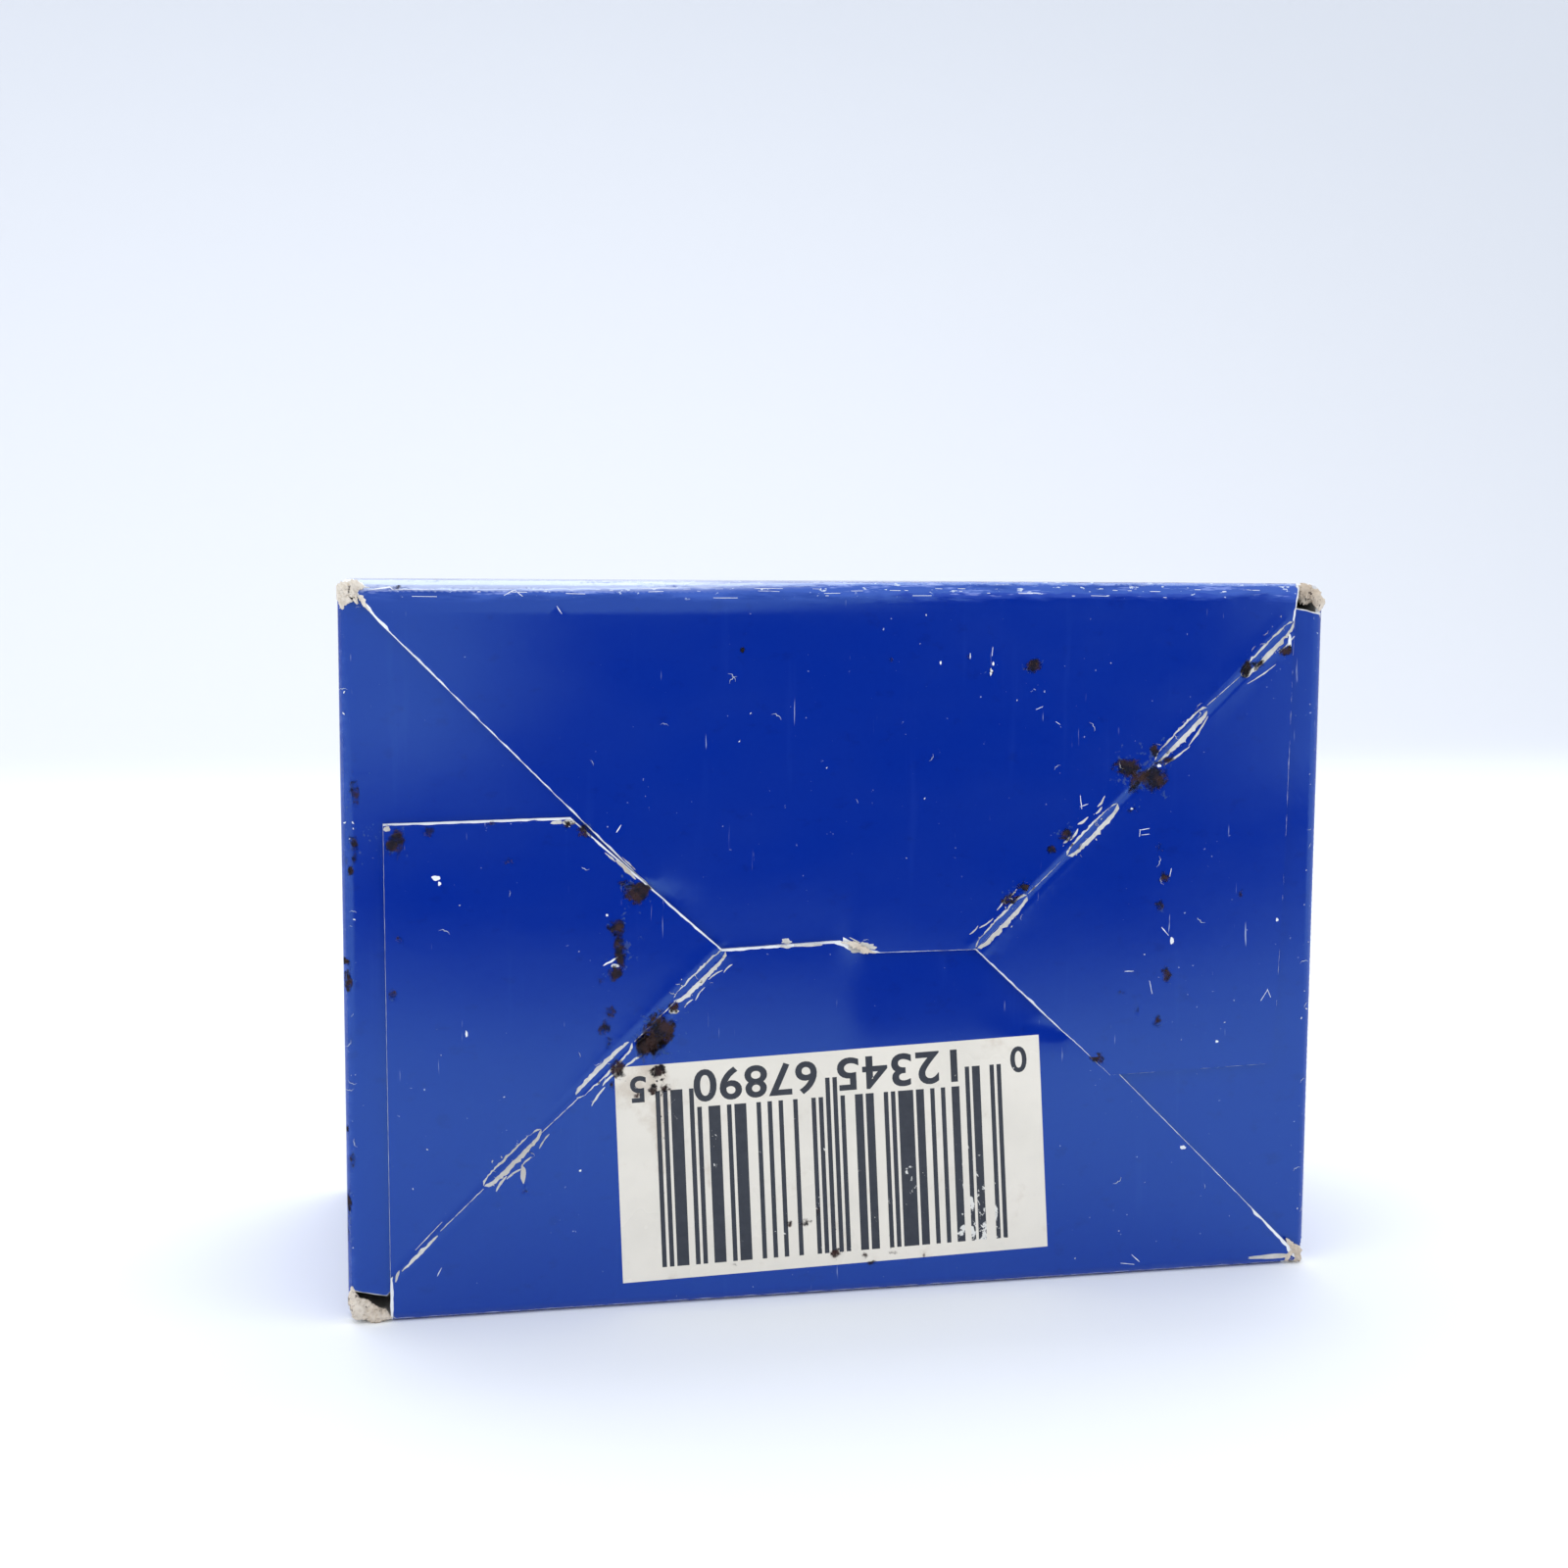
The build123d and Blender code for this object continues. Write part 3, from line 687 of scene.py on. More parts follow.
    mesh.polygons.foreach_set("material_index", np.array(finishes, dtype=np.int32))
    mesh.polygons.foreach_set("use_smooth", np.ones(len(polys), dtype=bool))
    points3 = np.concatenate([front, back])
    on_front = np.arange(2 * n) < n
    levels = wear_and_sheen_levels(points3, on_front)
    for label, level in levels.items():
        add_level(mesh, label, level)
    settle(mesh)
    shown(name, mesh, body, nodes)


def wear_and_sheen_levels(points, on_front):
    """Every wear value of a board, and its painted sheen, at each of its points."""
    behind = points[:, 1] - front_y
    near_front = points[:, 1] < front_y + 2.0
    top_band = stepped(1.2 - (box_height - points[:, 2]) / 2.2) * near_front
    foot_band = 0.3 * stepped(1.1 - points[:, 2] / 1.2) * near_front
    side_band = 0.35 * stepped(1.1 - (half_width - np.abs(points[:, 0])) / 1.2)
    # This value marks the strip of the top panel behind the front fold that gets a painted reflection, a pale sheen.
    painted_sheen = (points[:, 2] > 64.9) * stepped((behind - 0.25) / 0.5) * stepped((5.5 - behind) / 2.5)
    painted_sheen = painted_sheen * stepped((6.0 - points[:, 0]) / 24.0) * on_front
    return {
        "grime": gathered(points, grime_spots) * on_front,
        "scuff": gathered(points, scuff_spots, 0.12),
        "stain": gathered(points, stain_spots) * on_front,
        "crinkle": np.clip(top_band + foot_band + side_band, 0.0, 1.0),
        "painted_sheen": painted_sheen,
    }


def add_level(mesh, label, level):
    """Gives every point of a mesh its wear value or its painted sheen; level is one number or one for each point."""
    layer = mesh.attributes.new(label, "FLOAT", "POINT")
    layer.data.foreach_set("value", np.array(np.broadcast_to(level, len(mesh.vertices)), dtype=np.float32))


def settle(mesh, angle=0.6):
    """Outward faces, and sharp edges where finishes or directions change."""
    bm = bmesh.new()
    bm.from_mesh(mesh)
    bmesh.ops.recalc_face_normals(bm, faces=bm.faces)
    for e in bm.edges:
        if len(e.link_faces) == 2:
            a, b = e.link_faces
            e.smooth = a.material_index == b.material_index and a.normal.angle(b.normal, 0.0) < angle
    bm.to_mesh(mesh)
    bm.free()
    mesh.update()


# ---- the auto-lock end: outlines and reliefs, on the face seen from the front ----

crease_left = (-42.0, 4.0, -12.15, 32.75)
crease_right = (42.45, 62.55, 11.65, 32.0)


def crease_distance(u, v, crease):
    """How far a point lies to the side of a crease, and how far along it from 0 to 1."""
    x1, z1, x2, z2 = crease
    length = math.dist((x1, z1), (x2, z2))
    t = ((u - x1) * (x2 - x1) + (v - z1) * (z2 - z1)) / length
    across = ((u - x1) * -(z2 - z1) + (v - z1) * (x2 - x1)) / length
    return across, t / length


def crease_relief(u, v):
    """The groove along each cut-crease, with the swelling beside it."""
    total = np.zeros_like(u)
    for crease in (crease_left, crease_right):
        across, t = crease_distance(u, v, crease)
        ends = stepped((t + 0.02) / 0.03) * stepped((1.02 - t) / 0.03)
        total += ends * (0.07 * np.exp(-(across / 0.16) ** 2) - 0.03 * np.exp(-((np.abs(across) - 0.7) / 0.35) ** 2))
    return total


def fold_crinkle(u, v, edge, reach=1.9, amount=0.07):
    """Crinkles of the skin along a fold that runs at height edge."""
    near = stepped(1 - np.abs(v - edge) / reach)
    away = np.abs(v - edge)
    return near * amount * (rumple(u / 3.6, away, 0.36, 5.0) + 0.45 * rumple(u, away, 0.8, 9.0))


def top_fold_sag(u, v, edge):
    """How far the top front fold has been pressed in: most towards the left, with fine crinkles all along."""
    near = stepped(1 - np.abs(v - edge) / 2.2)
    sag = 0.72 * stepped((16.0 - u) / 52.0) * near
    ends = stepped((42.5 - u) / 2.0) * stepped((u + 45.0) / 2.0)
    return sag + fold_crinkle(u, v, edge) * ends


def upper_depth(u, v):
    """How far the upper main flap sinks: at its hooked half, and beside the left lock panel."""
    left = stepped((1.8 - u) / 4.2)
    seam = np.exp(-((np.clip(v - 33.0, 0, None)) / 13.0) ** 1.5) * left
    edge = np.clip((u + v - 19.6) / math.sqrt(2), 0, None)
    under = np.exp(-(edge / 9.0) ** 1.5) * stepped((42.5 - v) / 5.0)
    dip = np.maximum(seam, under)
    return 0.56 * dip + crease_relief(u, v) + top_fold_sag(u, v, high_edge)


def lower_depth(u, v):
    """How far the lower main flap sinks: at its hooked half, and beside the right lock panel."""
    right = stepped((u + 2.2) / 4.2)
    seam = np.exp(-((np.clip(32.0 - v, 0, None)) / 5.5) ** 1.5) * right
    edge = np.clip((45.4 - u - v) / math.sqrt(2), 0, None)
    under = np.exp(-(edge / 5.0) ** 1.5) * stepped((v - 22.5) / 4.0)
    dip = np.maximum(seam, under)
    return 0.56 * dip + crease_relief(u, v) + fold_crinkle(u, v, low_edge,
        amount=0.03) * stepped((44.5 - np.abs(u)) / 2.0)


def crescent(a, b, near, far, side, seed, lift=0.0, points=30):
    """A torn lip beside a cut from a to b: it starts and ends on the cut and stands off it between near and far."""
    length = math.dist(a, b)
    tx, tz = (b[0] - a[0]) / length, (b[1] - a[1]) / length
    nx, nz = -tz * side, tx * side
    outer, inner = [], []
    for i in range(points + 1):
        t = i / points
        body = max(math.sin(math.pi * t), 0.0) ** 0.24
        rough = noise.noise((t * length / 0.5, side * 5.0, seed)) + 0.6 * noise.noise((t * length / 0.22, side * 3.0,
            seed + 9))
        f = max(0.05, (far + lift * (t - 0.5)) * body + (0.05 + 0.25 * far) * rough * body)
        gap = near * (1 + 0.35 * noise.noise((t * length / 1.1, seed, 11.0)))
        n = min(gap * min(1.0, 9 * t, 9 * (1 - t)) + 0.06 * rough, f - 0.03)
        x, z = a[0] + (b[0] - a[0]) * t, a[1] + (b[1] - a[1]) * t
        slip = 0.10 * noise.noise((t * length / 0.8, seed, 4.0))
        outer.append((x + nx * f + tx * slip, z + nz * f + tz * slip))
        inner.append((x + nx * max(n, 0.0), z + nz * max(n, 0.0)))
    return outer + inner[::-1]


def crease_tears(dashes, seed):
    """Torn lips of a cut-crease, as [(side, loop)]. Each dash is (start, end, thick side, fragment side,
    fragments)."""
    loops = []
    for i, (a, b, thick, torn_side, pieces) in enumerate(dashes):
        for side in (-1, 1):
            heavy = side == thick
            loops.append((side, crescent(a, b, 0.25 if heavy else 0.34, 0.68 if heavy else 0.53, side,
                seed + i * 2 + side, 0.2 * math.sin(i * 2.4 + side))))
        length = math.dist(a, b)
        tx, tz = (b[0] - a[0]) / length, (b[1] - a[1]) / length
        nx, nz = -tz * torn_side, tx * torn_side
        turn = math.atan2(tz, tx)
        for k in range(pieces):
            t = (k + 0.5) / pieces + 0.05 * math.sin(k * 4.1 + i)
            off = 1.12 + 0.22 * math.sin(k * 2.7 + i * 1.9)
            x, z = a[0] + (b[0] - a[0]) * t + nx * off, a[1] + (b[1] - a[1]) * t + nz * off
            loops.append((torn_side, sliver(x, z, turn + 0.22 * math.sin(k * 2.1 + i),
                length / pieces * (0.65 + 0.35 * math.sin(k * 5.3 + i) ** 2),
                0.16 + 0.14 * math.sin(k * 3.3 + i) ** 2, seed + 30 + k + i * 5, 12, 0.08)))
    return loops


right_dashes = [((11.7, 32.25), (16.5, 37.0), 1, -1, 4), ((20.4, 40.6), (25.2, 45.4), 1, -1, 5),
    ((28.8, 49.4), (33.8, 54.3), 1, 1, 2), ((37.2, 57.3), (42.3, 62.3), 1, 1, 2)]
left_dashes = [((-11.9, 32.6), (-16.6, 28.2), -1, -1, 4), ((-20.4, 24.5), (-25.4, 19.7), 1, -1, 3),
    ((-28.6, 16.95), (-33.7, 12.05), -1, -1, 4)]
right_cracks = [((16.6, 37.1), (20.3, 40.5), 0.13, 61.0), ((25.2, 45.3), (28.8, 49.2), 0.1, 71.0),
    ((33.8, 54.5), (37.3, 57.4), 0.1, 81.0)]
left_cracks = [((-16.3, 28.3), (-20.2, 24.6), 0.13, 91.0), ((-25.2, 19.7), (-28.6, 16.6), 0.1, 95.0),
    ((-33.7, 11.8), (-37.6, 8.1), 0.1, 99.0)]
# each dash runs the way that its crease does
for dashes, crease in ((right_dashes, crease_right), (left_dashes, crease_left)):
    for i, dash in enumerate(dashes):
        if (dash[1][0] - dash[0][0]) * (crease[2] - crease[0]) < 0:
            dashes[i] = (dash[1], dash[0]) + dash[2:]
right_tears = crease_tears(right_dashes, 3.0)
left_tears = crease_tears(left_dashes, 41.0)


def line_tears(rows, pieces=3):
    """Fine broken white lines. Each row is (start, end, width, seed)."""
    out = []
    for a, b, wide, seed in rows:
        turn = math.atan2(b[1] - a[1], b[0] - a[0])
        length = math.dist(a, b) / pieces
        for i in range(pieces):
            t = (i + 0.5) / pieces
            out.append(sliver(a[0] + (b[0] - a[0]) * t, a[1] + (b[1] - a[1]) * t, turn, length * 0.96, wide,
                seed + i, 12))
    return out


def side_of(tears, side):
    return [loop for where, loop in tears if where == side]


# ---- the bar label ----

label_corners = [(-21.25, 2.3), (19.15, 3.3), (17.9, 23.75), (-22.0, 22.3)]  # from lower left, anticlockwise


def on_label(s, t):
    """A place on the label, s across and t up, both from 0 to 1."""
    a, b, c, d = (np.array(p) for p in label_corners)
    low, high = a + (b - a) * s, d + (c - d) * s
    return low + (high - low) * t


def bar_runs(digits):
    """Dark runs of a twelve-digit retail code, as (first module, modules, long bar)."""
    code = {"0": "0001101", "1": "0011001", "2": "0010011", "3": "0111101", "4": "0100011",
            "5": "0110001", "6": "0101111", "7": "0111011", "8": "0110111", "9": "0001011"}
    left = "".join(code[d] for d in digits[:6])
    right = "".join("10"[int(m)] for d in digits[6:] for m in code[d])
    modules = "101" + left + "01010" + right + "101"
    runs, start = [], None
    for i, m in enumerate(modules + "0"):
        if m == "1" and start is None:
            start = i
        if m == "0" and start is not None:
            runs.append((start, i - start, start < 10 or start >= 85 or 45 <= start < 50))
            start = None
    return runs


def digit_segments(text, height):
    """The outline of a line of digits as segments, with its width; its base line is at 0."""
    curve = bpy.data.curves.new("digits", "FONT")
    curve.body = text
    curve.size = 1.0
    curve.offset = 0.02
    curve.space_character = 1.06
    curve.resolution_u = 5
    holder = bpy.data.objects.new("digits", curve)
    scene.collection.objects.link(holder)
    bpy.context.view_layer.update()
    mesh = bpy.data.meshes.new_from_object(holder)
    co = np.array([v.co[:2] for v in mesh.vertices])
    counts = {}
    for p in mesh.polygons:
        for key in p.edge_keys:
            counts[key] = counts.get(key, 0) + 1
    rim = np.array([[co[a], co[b]] for (a, b), c in counts.items() if c == 1])
    bpy.data.objects.remove(holder)
    bpy.data.meshes.remove(mesh)
    bpy.data.curves.remove(curve)
    low, high = rim.reshape(-1, 2).min(0), rim.reshape(-1, 2).max(0)
    return (rim - low) * (height / (high[1] - low[1])), (high[0] - low[0]) * height / (high[1] - low[1])


def label_zones():
    """The label's ground, bars and digits as zones of the lower main flap."""
    wide, tall = 40.4, 20.5
    modules, ink_spread = 95, 0.12
    bar_foot, bar_top, long_bar_top = 1.2, 16.2, 18.0
    group_width = 11.6
    ground = [tuple(p) for p in resampled(label_corners, 1.0)[0]]
    first, last = 3.7 / wide, 36.5 / wide
    bars = []
    for start, count, long_bar in bar_runs("012345678905"):
        # the label is printed upside down, so the code runs from right to left
        s2 = last - (last - first) * (start - ink_spread) / modules
        s1 = last - (last - first) * (start + count + ink_spread) / modules
        t1, t2 = bar_foot / tall, (long_bar_top if long_bar else bar_top) / tall
        bars.append([tuple(on_label(s, t)) for s, t in ((s1, t1), (s2, t1), (s2, t2), (s1, t2))])
    letters = []
    for text, height, middle in (("0", 2.5, 38.3), ("12345", 3.15, 26.5), ("67890", 3.15, 13.0), ("5", 2.5, 2.1)):
        rim, w = digit_segments(text, height)
        if len(text) > 1:
            rim = rim * np.array([group_width / w, 1.0])
            w = group_width
        base = 19.75 if height > 3 else 19.55
        out = np.empty_like(rim)
        for k in range(rim.shape[0]):
            for e in range(2):
                a, b = rim[k, e]
                out[k, e] = on_label((middle + w / 2 - a) / wide, (base - b) / tall)
        letters.append(out)
    return [(LABEL, [ground], 0.0), (INK, bars, 0.0), (INK, np.concatenate(letters), 0.0)]


# ---- boards of the auto-lock end ----

face = dict(along=(1, 0, 0), across=(0, 0, 1), outward=(0, -1, 0))
low_edge = bend - quarter
high_edge = box_height - bend + quarter
shine = np.array([(x, z) for z in np.arange(box_height - 1.9, high_edge, 0.22) for x in np.arange(-45, 43, 0.55)])
foot = np.array([(x, z) for z in np.arange(low_edge, 1.7, 0.3) for x in np.arange(-42, 45, 0.7)])

upper_outline = [
    (-45.3, high_edge, cut(0.6, 0.1)), (-43.9, 64.3, cut(0.24, 0.06)), (-42.2, 62.2, cut(0.13, 0.02)),
    (-20.8, 40.6, cut(0.12, 0.01)), (-12.6, 32.6, cut(0.12, 0.02)), (-9.8, 32.2, HIDDEN), (-9.8, 30.1, HIDDEN),
    (-7.8, 28.1, HIDDEN), (-2.8, 28.1, HIDDEN), (-0.8, 30.1, HIDDEN), (-0.8, 33.0, cut(0.42, 0.2)),
    (1.7, 31.95, cut(0.07, 0.02)), (11.65, 32.0, FOLD), (42.45, 62.55, cut(0.22, 0.12)), (42.9, high_edge, FOLD),
]
upper_zones = [
    (TORN, side_of(right_tears, -1) + line_tears(right_cracks), 0.05),
    (TORN, [lump(-6.2, 33.25, 0.5, 0.22, 5.0, 26, 0.9), lump(1.2, 32.6, 1.0, 0.38, 8.0, 34, 0.9),
        sliver(0.2, 33.2, -0.5, 1.2, 0.16, 8.4), sliver(-20.6, 40.75, -0.78, 1.7, 0.16, 3.0)], 0.06),
    (CUT, [lump(12.7, 57.7, 0.13, 0.3, 2.0, 20, 0.9), lump(12.9, 58.5, 0.09, 0.16, 2.6),
        sliver(12.8, 59.6, 1.5, 0.8, 0.06, 2.5), lump(7.9, 58.6, 0.09, 0.16, 3.1), lump(10.7, 59.2, 0.04, 0.25, 5.1),
        sliver(-26.7, 63.3, -1.0, 0.8, 0.09, 12.1), sliver(-33.4, 47.5, 1.1, 0.8, 0.08, 12.6),
        sliver(-21.5, 43.9, 1.0, 0.8, 0.15, 13.1), sliver(21.6, 45.6, 1.7, 1.3, 0.1, 13.9),
        sliver(21.9, 45.3, 0.3, 0.8, 0.08, 14.3), sliver(17.4, 54.4, 0.4, 0.7, 0.06, 14.9),
        sliver(19.2, 53.0, -0.6, 0.5, 0.06, 15.2)], 0.03),
]
# Painted highlights: thin slivers of the white cut-edge finish along the top front fold stand in for glints.
glints = []
for k in range(46):
    a, b, c = (noise.noise((k * 1.71, 0.4 + 3.1 * j, 7.0)) for j in range(3))
    x = -41.0 + 82.0 * ((k * 0.618) % 1.0) + 2.0 * a
    glints.append(sliver(x, 65.35 - 0.75 * abs(b) * 2, 0.10 * c, 0.3 + 2.4 * max(0.0, b + 0.15),
        0.04 + 0.06 * abs(a), 50.0 + k, 9))
glints += [sliver(-39.4, 65.15, 0.0, 3.9, 0.17, 131.0), sliver(-30.9, 64.85, 0.5, 1.3, 0.13, 132.0),
    sliver(-30.2, 64.75, -0.7, 0.9, 0.09, 133.0), sliver(-17.9, 65.5, 0.02, 3.6, 0.15, 134.0),
    sliver(-8.0, 65.4, 0.0, 2.6, 0.12, 135.0)]
upper_zones.append((CUT, glints, 0.02))
make_board("upper_main_flap_board", upper_outline, sheet_place((0, front_y, 0), **face, high2=top_z), "sleeve",
    ["upper_main_flap"],
                        upper_depth, zones=upper_zones, extra=shine, seed=2.0, creases=[crease_right])

lower_outline = [
    (-42.0, low_edge, FOLD), (45.3, low_edge, cut(0.35, 0.05)), (43.4, 2.3, cut(0.07, 0.02)),
    (26.2, 19.45, cut(0.07, 0.01)), (13.3, 32.2, cut(0.1, 0.01)), (9.8, 32.3, HIDDEN), (9.8, 36.0, HIDDEN),
    (7.8, 38.0, HIDDEN), (2.8, 38.0, HIDDEN), (0.8, 36.0, HIDDEN), (0.8, 32.4, cut(0.42, 0.2)),
    (-1.2, 33.2, cut(0.17, 0.02)), (-12.15, 32.75, FOLD), (-42.0, 4.0, cut(0.22, 0.1)),
]
lower_zones = label_zones() + [
    (TORN, side_of(left_tears, -1) + line_tears(left_cracks) + [sliver(-39.4, 6.2, 0.77, 4.4, 0.4, 45.0, 20),
        sliver(-41.4, 4.3, 1.3, 1.2, 0.3, 47.0)], 0.05),
    (TORN, [lump(-6.2, 32.95, 0.6, 0.22, 15.0), lump(-4.6, 32.95, 1.6, 0.16, 16.0),
        lump(-16.6, 27.3, 0.5, 0.25, 18.0), lump(-30.2, 13.0, 0.25, 0.8, 21.0), lump(41.8, 0.9, 2.4, 0.22, 23.0),
        lump(0.3, 32.5, 0.7, 0.5, 24.0)], 0.06),
    (CUT, [sliver(28.0, 1.6, -0.75, 1.1, 0.1, 2.9), sliver(27.2, 1.1, -0.15, 1.4, 0.08, 3.9),
        lump(-25.1, 13.0, 0.12, 0.1, 3.3), lump(32.5, 12.2, 0.28, 0.2, 4.3), lump(26.9, 19.9, 0.12, 0.12, 4.6),
        sliver(-37.7, 4.4, 1.1, 0.8, 0.08, 4.9)], 0.03),
]
make_board("lower_main_flap_board", lower_outline, sheet_place((0, front_y, 0), **face, low2=base_z), "sleeve",
    ["lower_main_flap"],
                        lower_depth, zones=lower_zones, extra=foot, seed=4.0, creases=[crease_left])

left_lock_outline = [
    (-42.0, 4.0, FOLD), (-12.15, 32.75, cut(0.15, 0.02)), (-20.9, 40.6, cut(0.13, 0.02)),
    (-25.8, 45.0, cut(0.15, 0.02)), (-42.1, 44.7, cut(0.02, 0.01)),
]
left_lock_zones = [
    (TORN, side_of(left_tears, 1) + [sliver(-38.6, 7.75, 0.8, 3.4, 0.1, 46.0)], 0.05),
    (TORN, [sliver(-20.9, 40.25, -0.78, 2.5, 0.42, 31.0), sliver(-22.3, 41.4, -0.72, 1.3, 0.22, 32.0),
        lump(-41.75, 44.3, 0.3, 0.25, 34.0), lump(-25.9, 44.6, 0.7, 0.22, 35.0), lump(-27.0, 44.6, 0.6, 0.15, 36.0)],
        0.06),
    (CUT, [lump(-37.6, 39.9, 0.36, 0.24, 7.0), lump(-37.3, 39.4, 0.14, 0.2, 7.7),
        sliver(-22.3, 32.0, 0.5, 1.5, 0.22, 8.8), lump(-21.9, 31.6, 0.4, 0.16, 8.2),
        lump(-35.1, 25.9, 0.1, 0.3, 9.3), lump(-22.6, 36.2, 0.12, 0.1, 9.9)], 0.03),
]
make_board("left_lock_board", left_lock_outline, sheet_place((0, front_y, 0), **face), "sleeve", ["left_lock_panel"],
    crease_relief,
           zones=left_lock_zones, seed=6.0, creases=[crease_left])

right_lock_outline = [
    (42.45, 62.55, FOLD), (11.65, 32.0, cut(0.13, 0.02)), (24.9, 19.55, cut(0.04, 0.02)),
    (41.6, 20.0, cut(0.06, 0.02)), (42.2, 41.0, cut(0.07, 0.03)),
]
right_lock_zones = [
    (TORN, side_of(right_tears, 1), 0.05),
    (CUT, [sliver(27.9, 42.95, 0.15, 1.0, 0.09, 7.2), sliver(28.0, 42.45, 0.1, 0.8, 0.07, 7.3),
        sliver(27.45, 42.6, 1.5, 0.7, 0.08, 7.4), lump(30.9, 32.3, 0.2, 0.32, 8.1),
        sliver(30.2, 33.2, 2.3, 1.1, 0.1, 8.3), sliver(30.6, 38.8, 1.4, 0.8, 0.08, 8.5),
        lump(41.5, 34.0, 0.13, 0.15, 8.6), sliver(26.7, 29.5, 0.0, 0.9, 0.08, 8.8),
        sliver(28.9, 27.9, 1.8, 1.3, 0.06, 8.9), lump(35.7, 22.4, 0.15, 0.13, 9.1), lump(26.6, 44.9, 0.12, 0.1, 9.2),
        lump(29.2, 48.9, 0.2, 0.15, 9.3), sliver(40.4, 26.7, 1.0, 1.2, 0.05, 9.4),
        sliver(40.9, 26.9, 2.0, 0.9, 0.05, 9.5), lump(41.95, 60.4, 0.17, 0.8, 9.6)], 0.03),
]
make_board("right_lock_board", right_lock_outline, sheet_place((0, front_y, 0), **face), "sleeve",
    ["right_lock_panel"], crease_relief,
           zones=right_lock_zones, seed=8.0, creases=[crease_right])

side_edge = -left_x - bend + quarter  # half way round a side fold, from the middle


def side_outline(mirror):
    rows = [(-side_edge, 2.9, cut(0.12, 0.05)), (-42.3, 2.25, HIDDEN), (-18.8, 28.8, HIDDEN), (-18.8, 43.0, HIDDEN),
            (-41.2, 65.3, cut(0.12, 0.0)), (-side_edge, 64.6, FOLD)]
    if mirror:
        rows = [(-u, box_height - v, k) for u, v, k in rows]
    return rows


make_board("left_side_flap_board", side_outline(False), sheet_place((0, side_front_y, 0), **face, low1=left_x),
    "sleeve", ["left_side_flap"], seed=10.0,
           extra=np.array([(x, z) for x in np.arange(-45.5, -43.8, 0.3) for z in np.arange(3, 65, 0.8)]))
make_board("right_side_flap_board", side_outline(True), sheet_place((0, side_front_y, 0), **face, high1=right_x),
    "sleeve", ["right_side_flap"], seed=12.0,
           extra=np.array([(x, z) for x in np.arange(43.8, 45.5, 0.3) for z in np.arange(1, 63, 0.8)]))

# ---- the four body panels ----

front_edge = front_y + bend - quarter
back_edge = back_y - bend + quarter
side_front_edge = side_front_y + bend - quarter
side_back_edge = side_back_y - bend + quarter
fold_rows = np.array([(x, y) for y in np.arange(front_edge, front_edge + 1.8, 0.25) for x in np.arange(-45, 45.3,
    0.6)])


def top_depth(u, v):
    return top_fold_sag(u, v, front_edge)


upper_panel_outline = [
    (-44.0, front_edge + 0.5, FOLD), (-43.4, front_edge, FOLD), (42.9, front_edge, cut(0.3, 0.1)),
    (43.0, front_edge + 0.75, cut(0.7, 0.25)), (side_edge, front_edge + 1.3, FOLD),
    (side_edge, back_edge - 0.5, CLEAN), (45.4, back_edge, FOLD), (-45.4, back_edge, CLEAN),
    (-side_edge, back_edge - 0.5, FOLD), (-side_edge, front_edge + 1.9, cut(0.6, 0.25)),
]
make_board("upper_panel_board", upper_panel_outline,
           sheet_place((0, 0, top_z), (1, 0, 0), (0, 1, 0), (0, 0, 1), left_x, right_x, front_y, back_y), "sleeve",
           ["upper_panel"], top_depth,
           extra=fold_rows, seed=14.0)

seam_x = span("seam_flap")[1][0]
seam_edge = seam_x - bend + quarter
lower_panel_outline = [
    (-side_edge, front_edge + 1.3, cut(0.7, 0.25)), (-42.2, front_edge + 0.75, cut(0.3, 0.1)),
    (-42.1, front_edge, FOLD), (43.6, front_edge, cut(0.4, 0.15)), (seam_edge, front_edge + 1.4, FOLD),
    (seam_edge, back_y - 1.2, CLEAN), (44.0, back_y - 0.1, cut(0.22, 0.02)), (-44.6, back_y - 0.1, cut(0.22, 0.02)),
    (-side_edge, back_y - 1.2, FOLD),
]
make_board("lower_panel_board", lower_panel_outline,
           sheet_place((0, 0, base_z), (1, 0, 0), (0, 1, 0), (0, 0, -1), left_x, seam_x, front_y, None), "sleeve",
           ["lower_panel"],
           extra=fold_rows, seed=16.0, wander=0.0)

left_outline = [
    (low_edge, side_front_edge + 1.0, cut(0.5, 0.2)), (2.2, side_front_edge + 0.5, cut(0.3, 0.1)),
    (2.4, side_front_edge, FOLD), (64.6, side_front_edge, cut(0.5, 0.2)),
    (high_edge - skin, side_front_edge + 1.3, FOLD), (high_edge - skin, side_back_edge - 0.3, CLEAN),
    (64.4, side_back_edge - 0.1, cut(0.15, 0.0)), (64.3, side_back_edge, FOLD),
    (5.0, side_back_edge, cut(0.15, 0.0)), (4.9, side_back_edge - 0.1, CLEAN),
    (low_edge, side_back_edge - 0.3, FOLD),
]
make_board("left_panel_board", left_outline,
           sheet_place((left_x, 0, 0), (0, 0, 1), (0, 1, 0), (-1, 0, 0), base_z, top_z, side_front_y, side_back_y),
           "sleeve", ["left_panel"], seed=18.0)

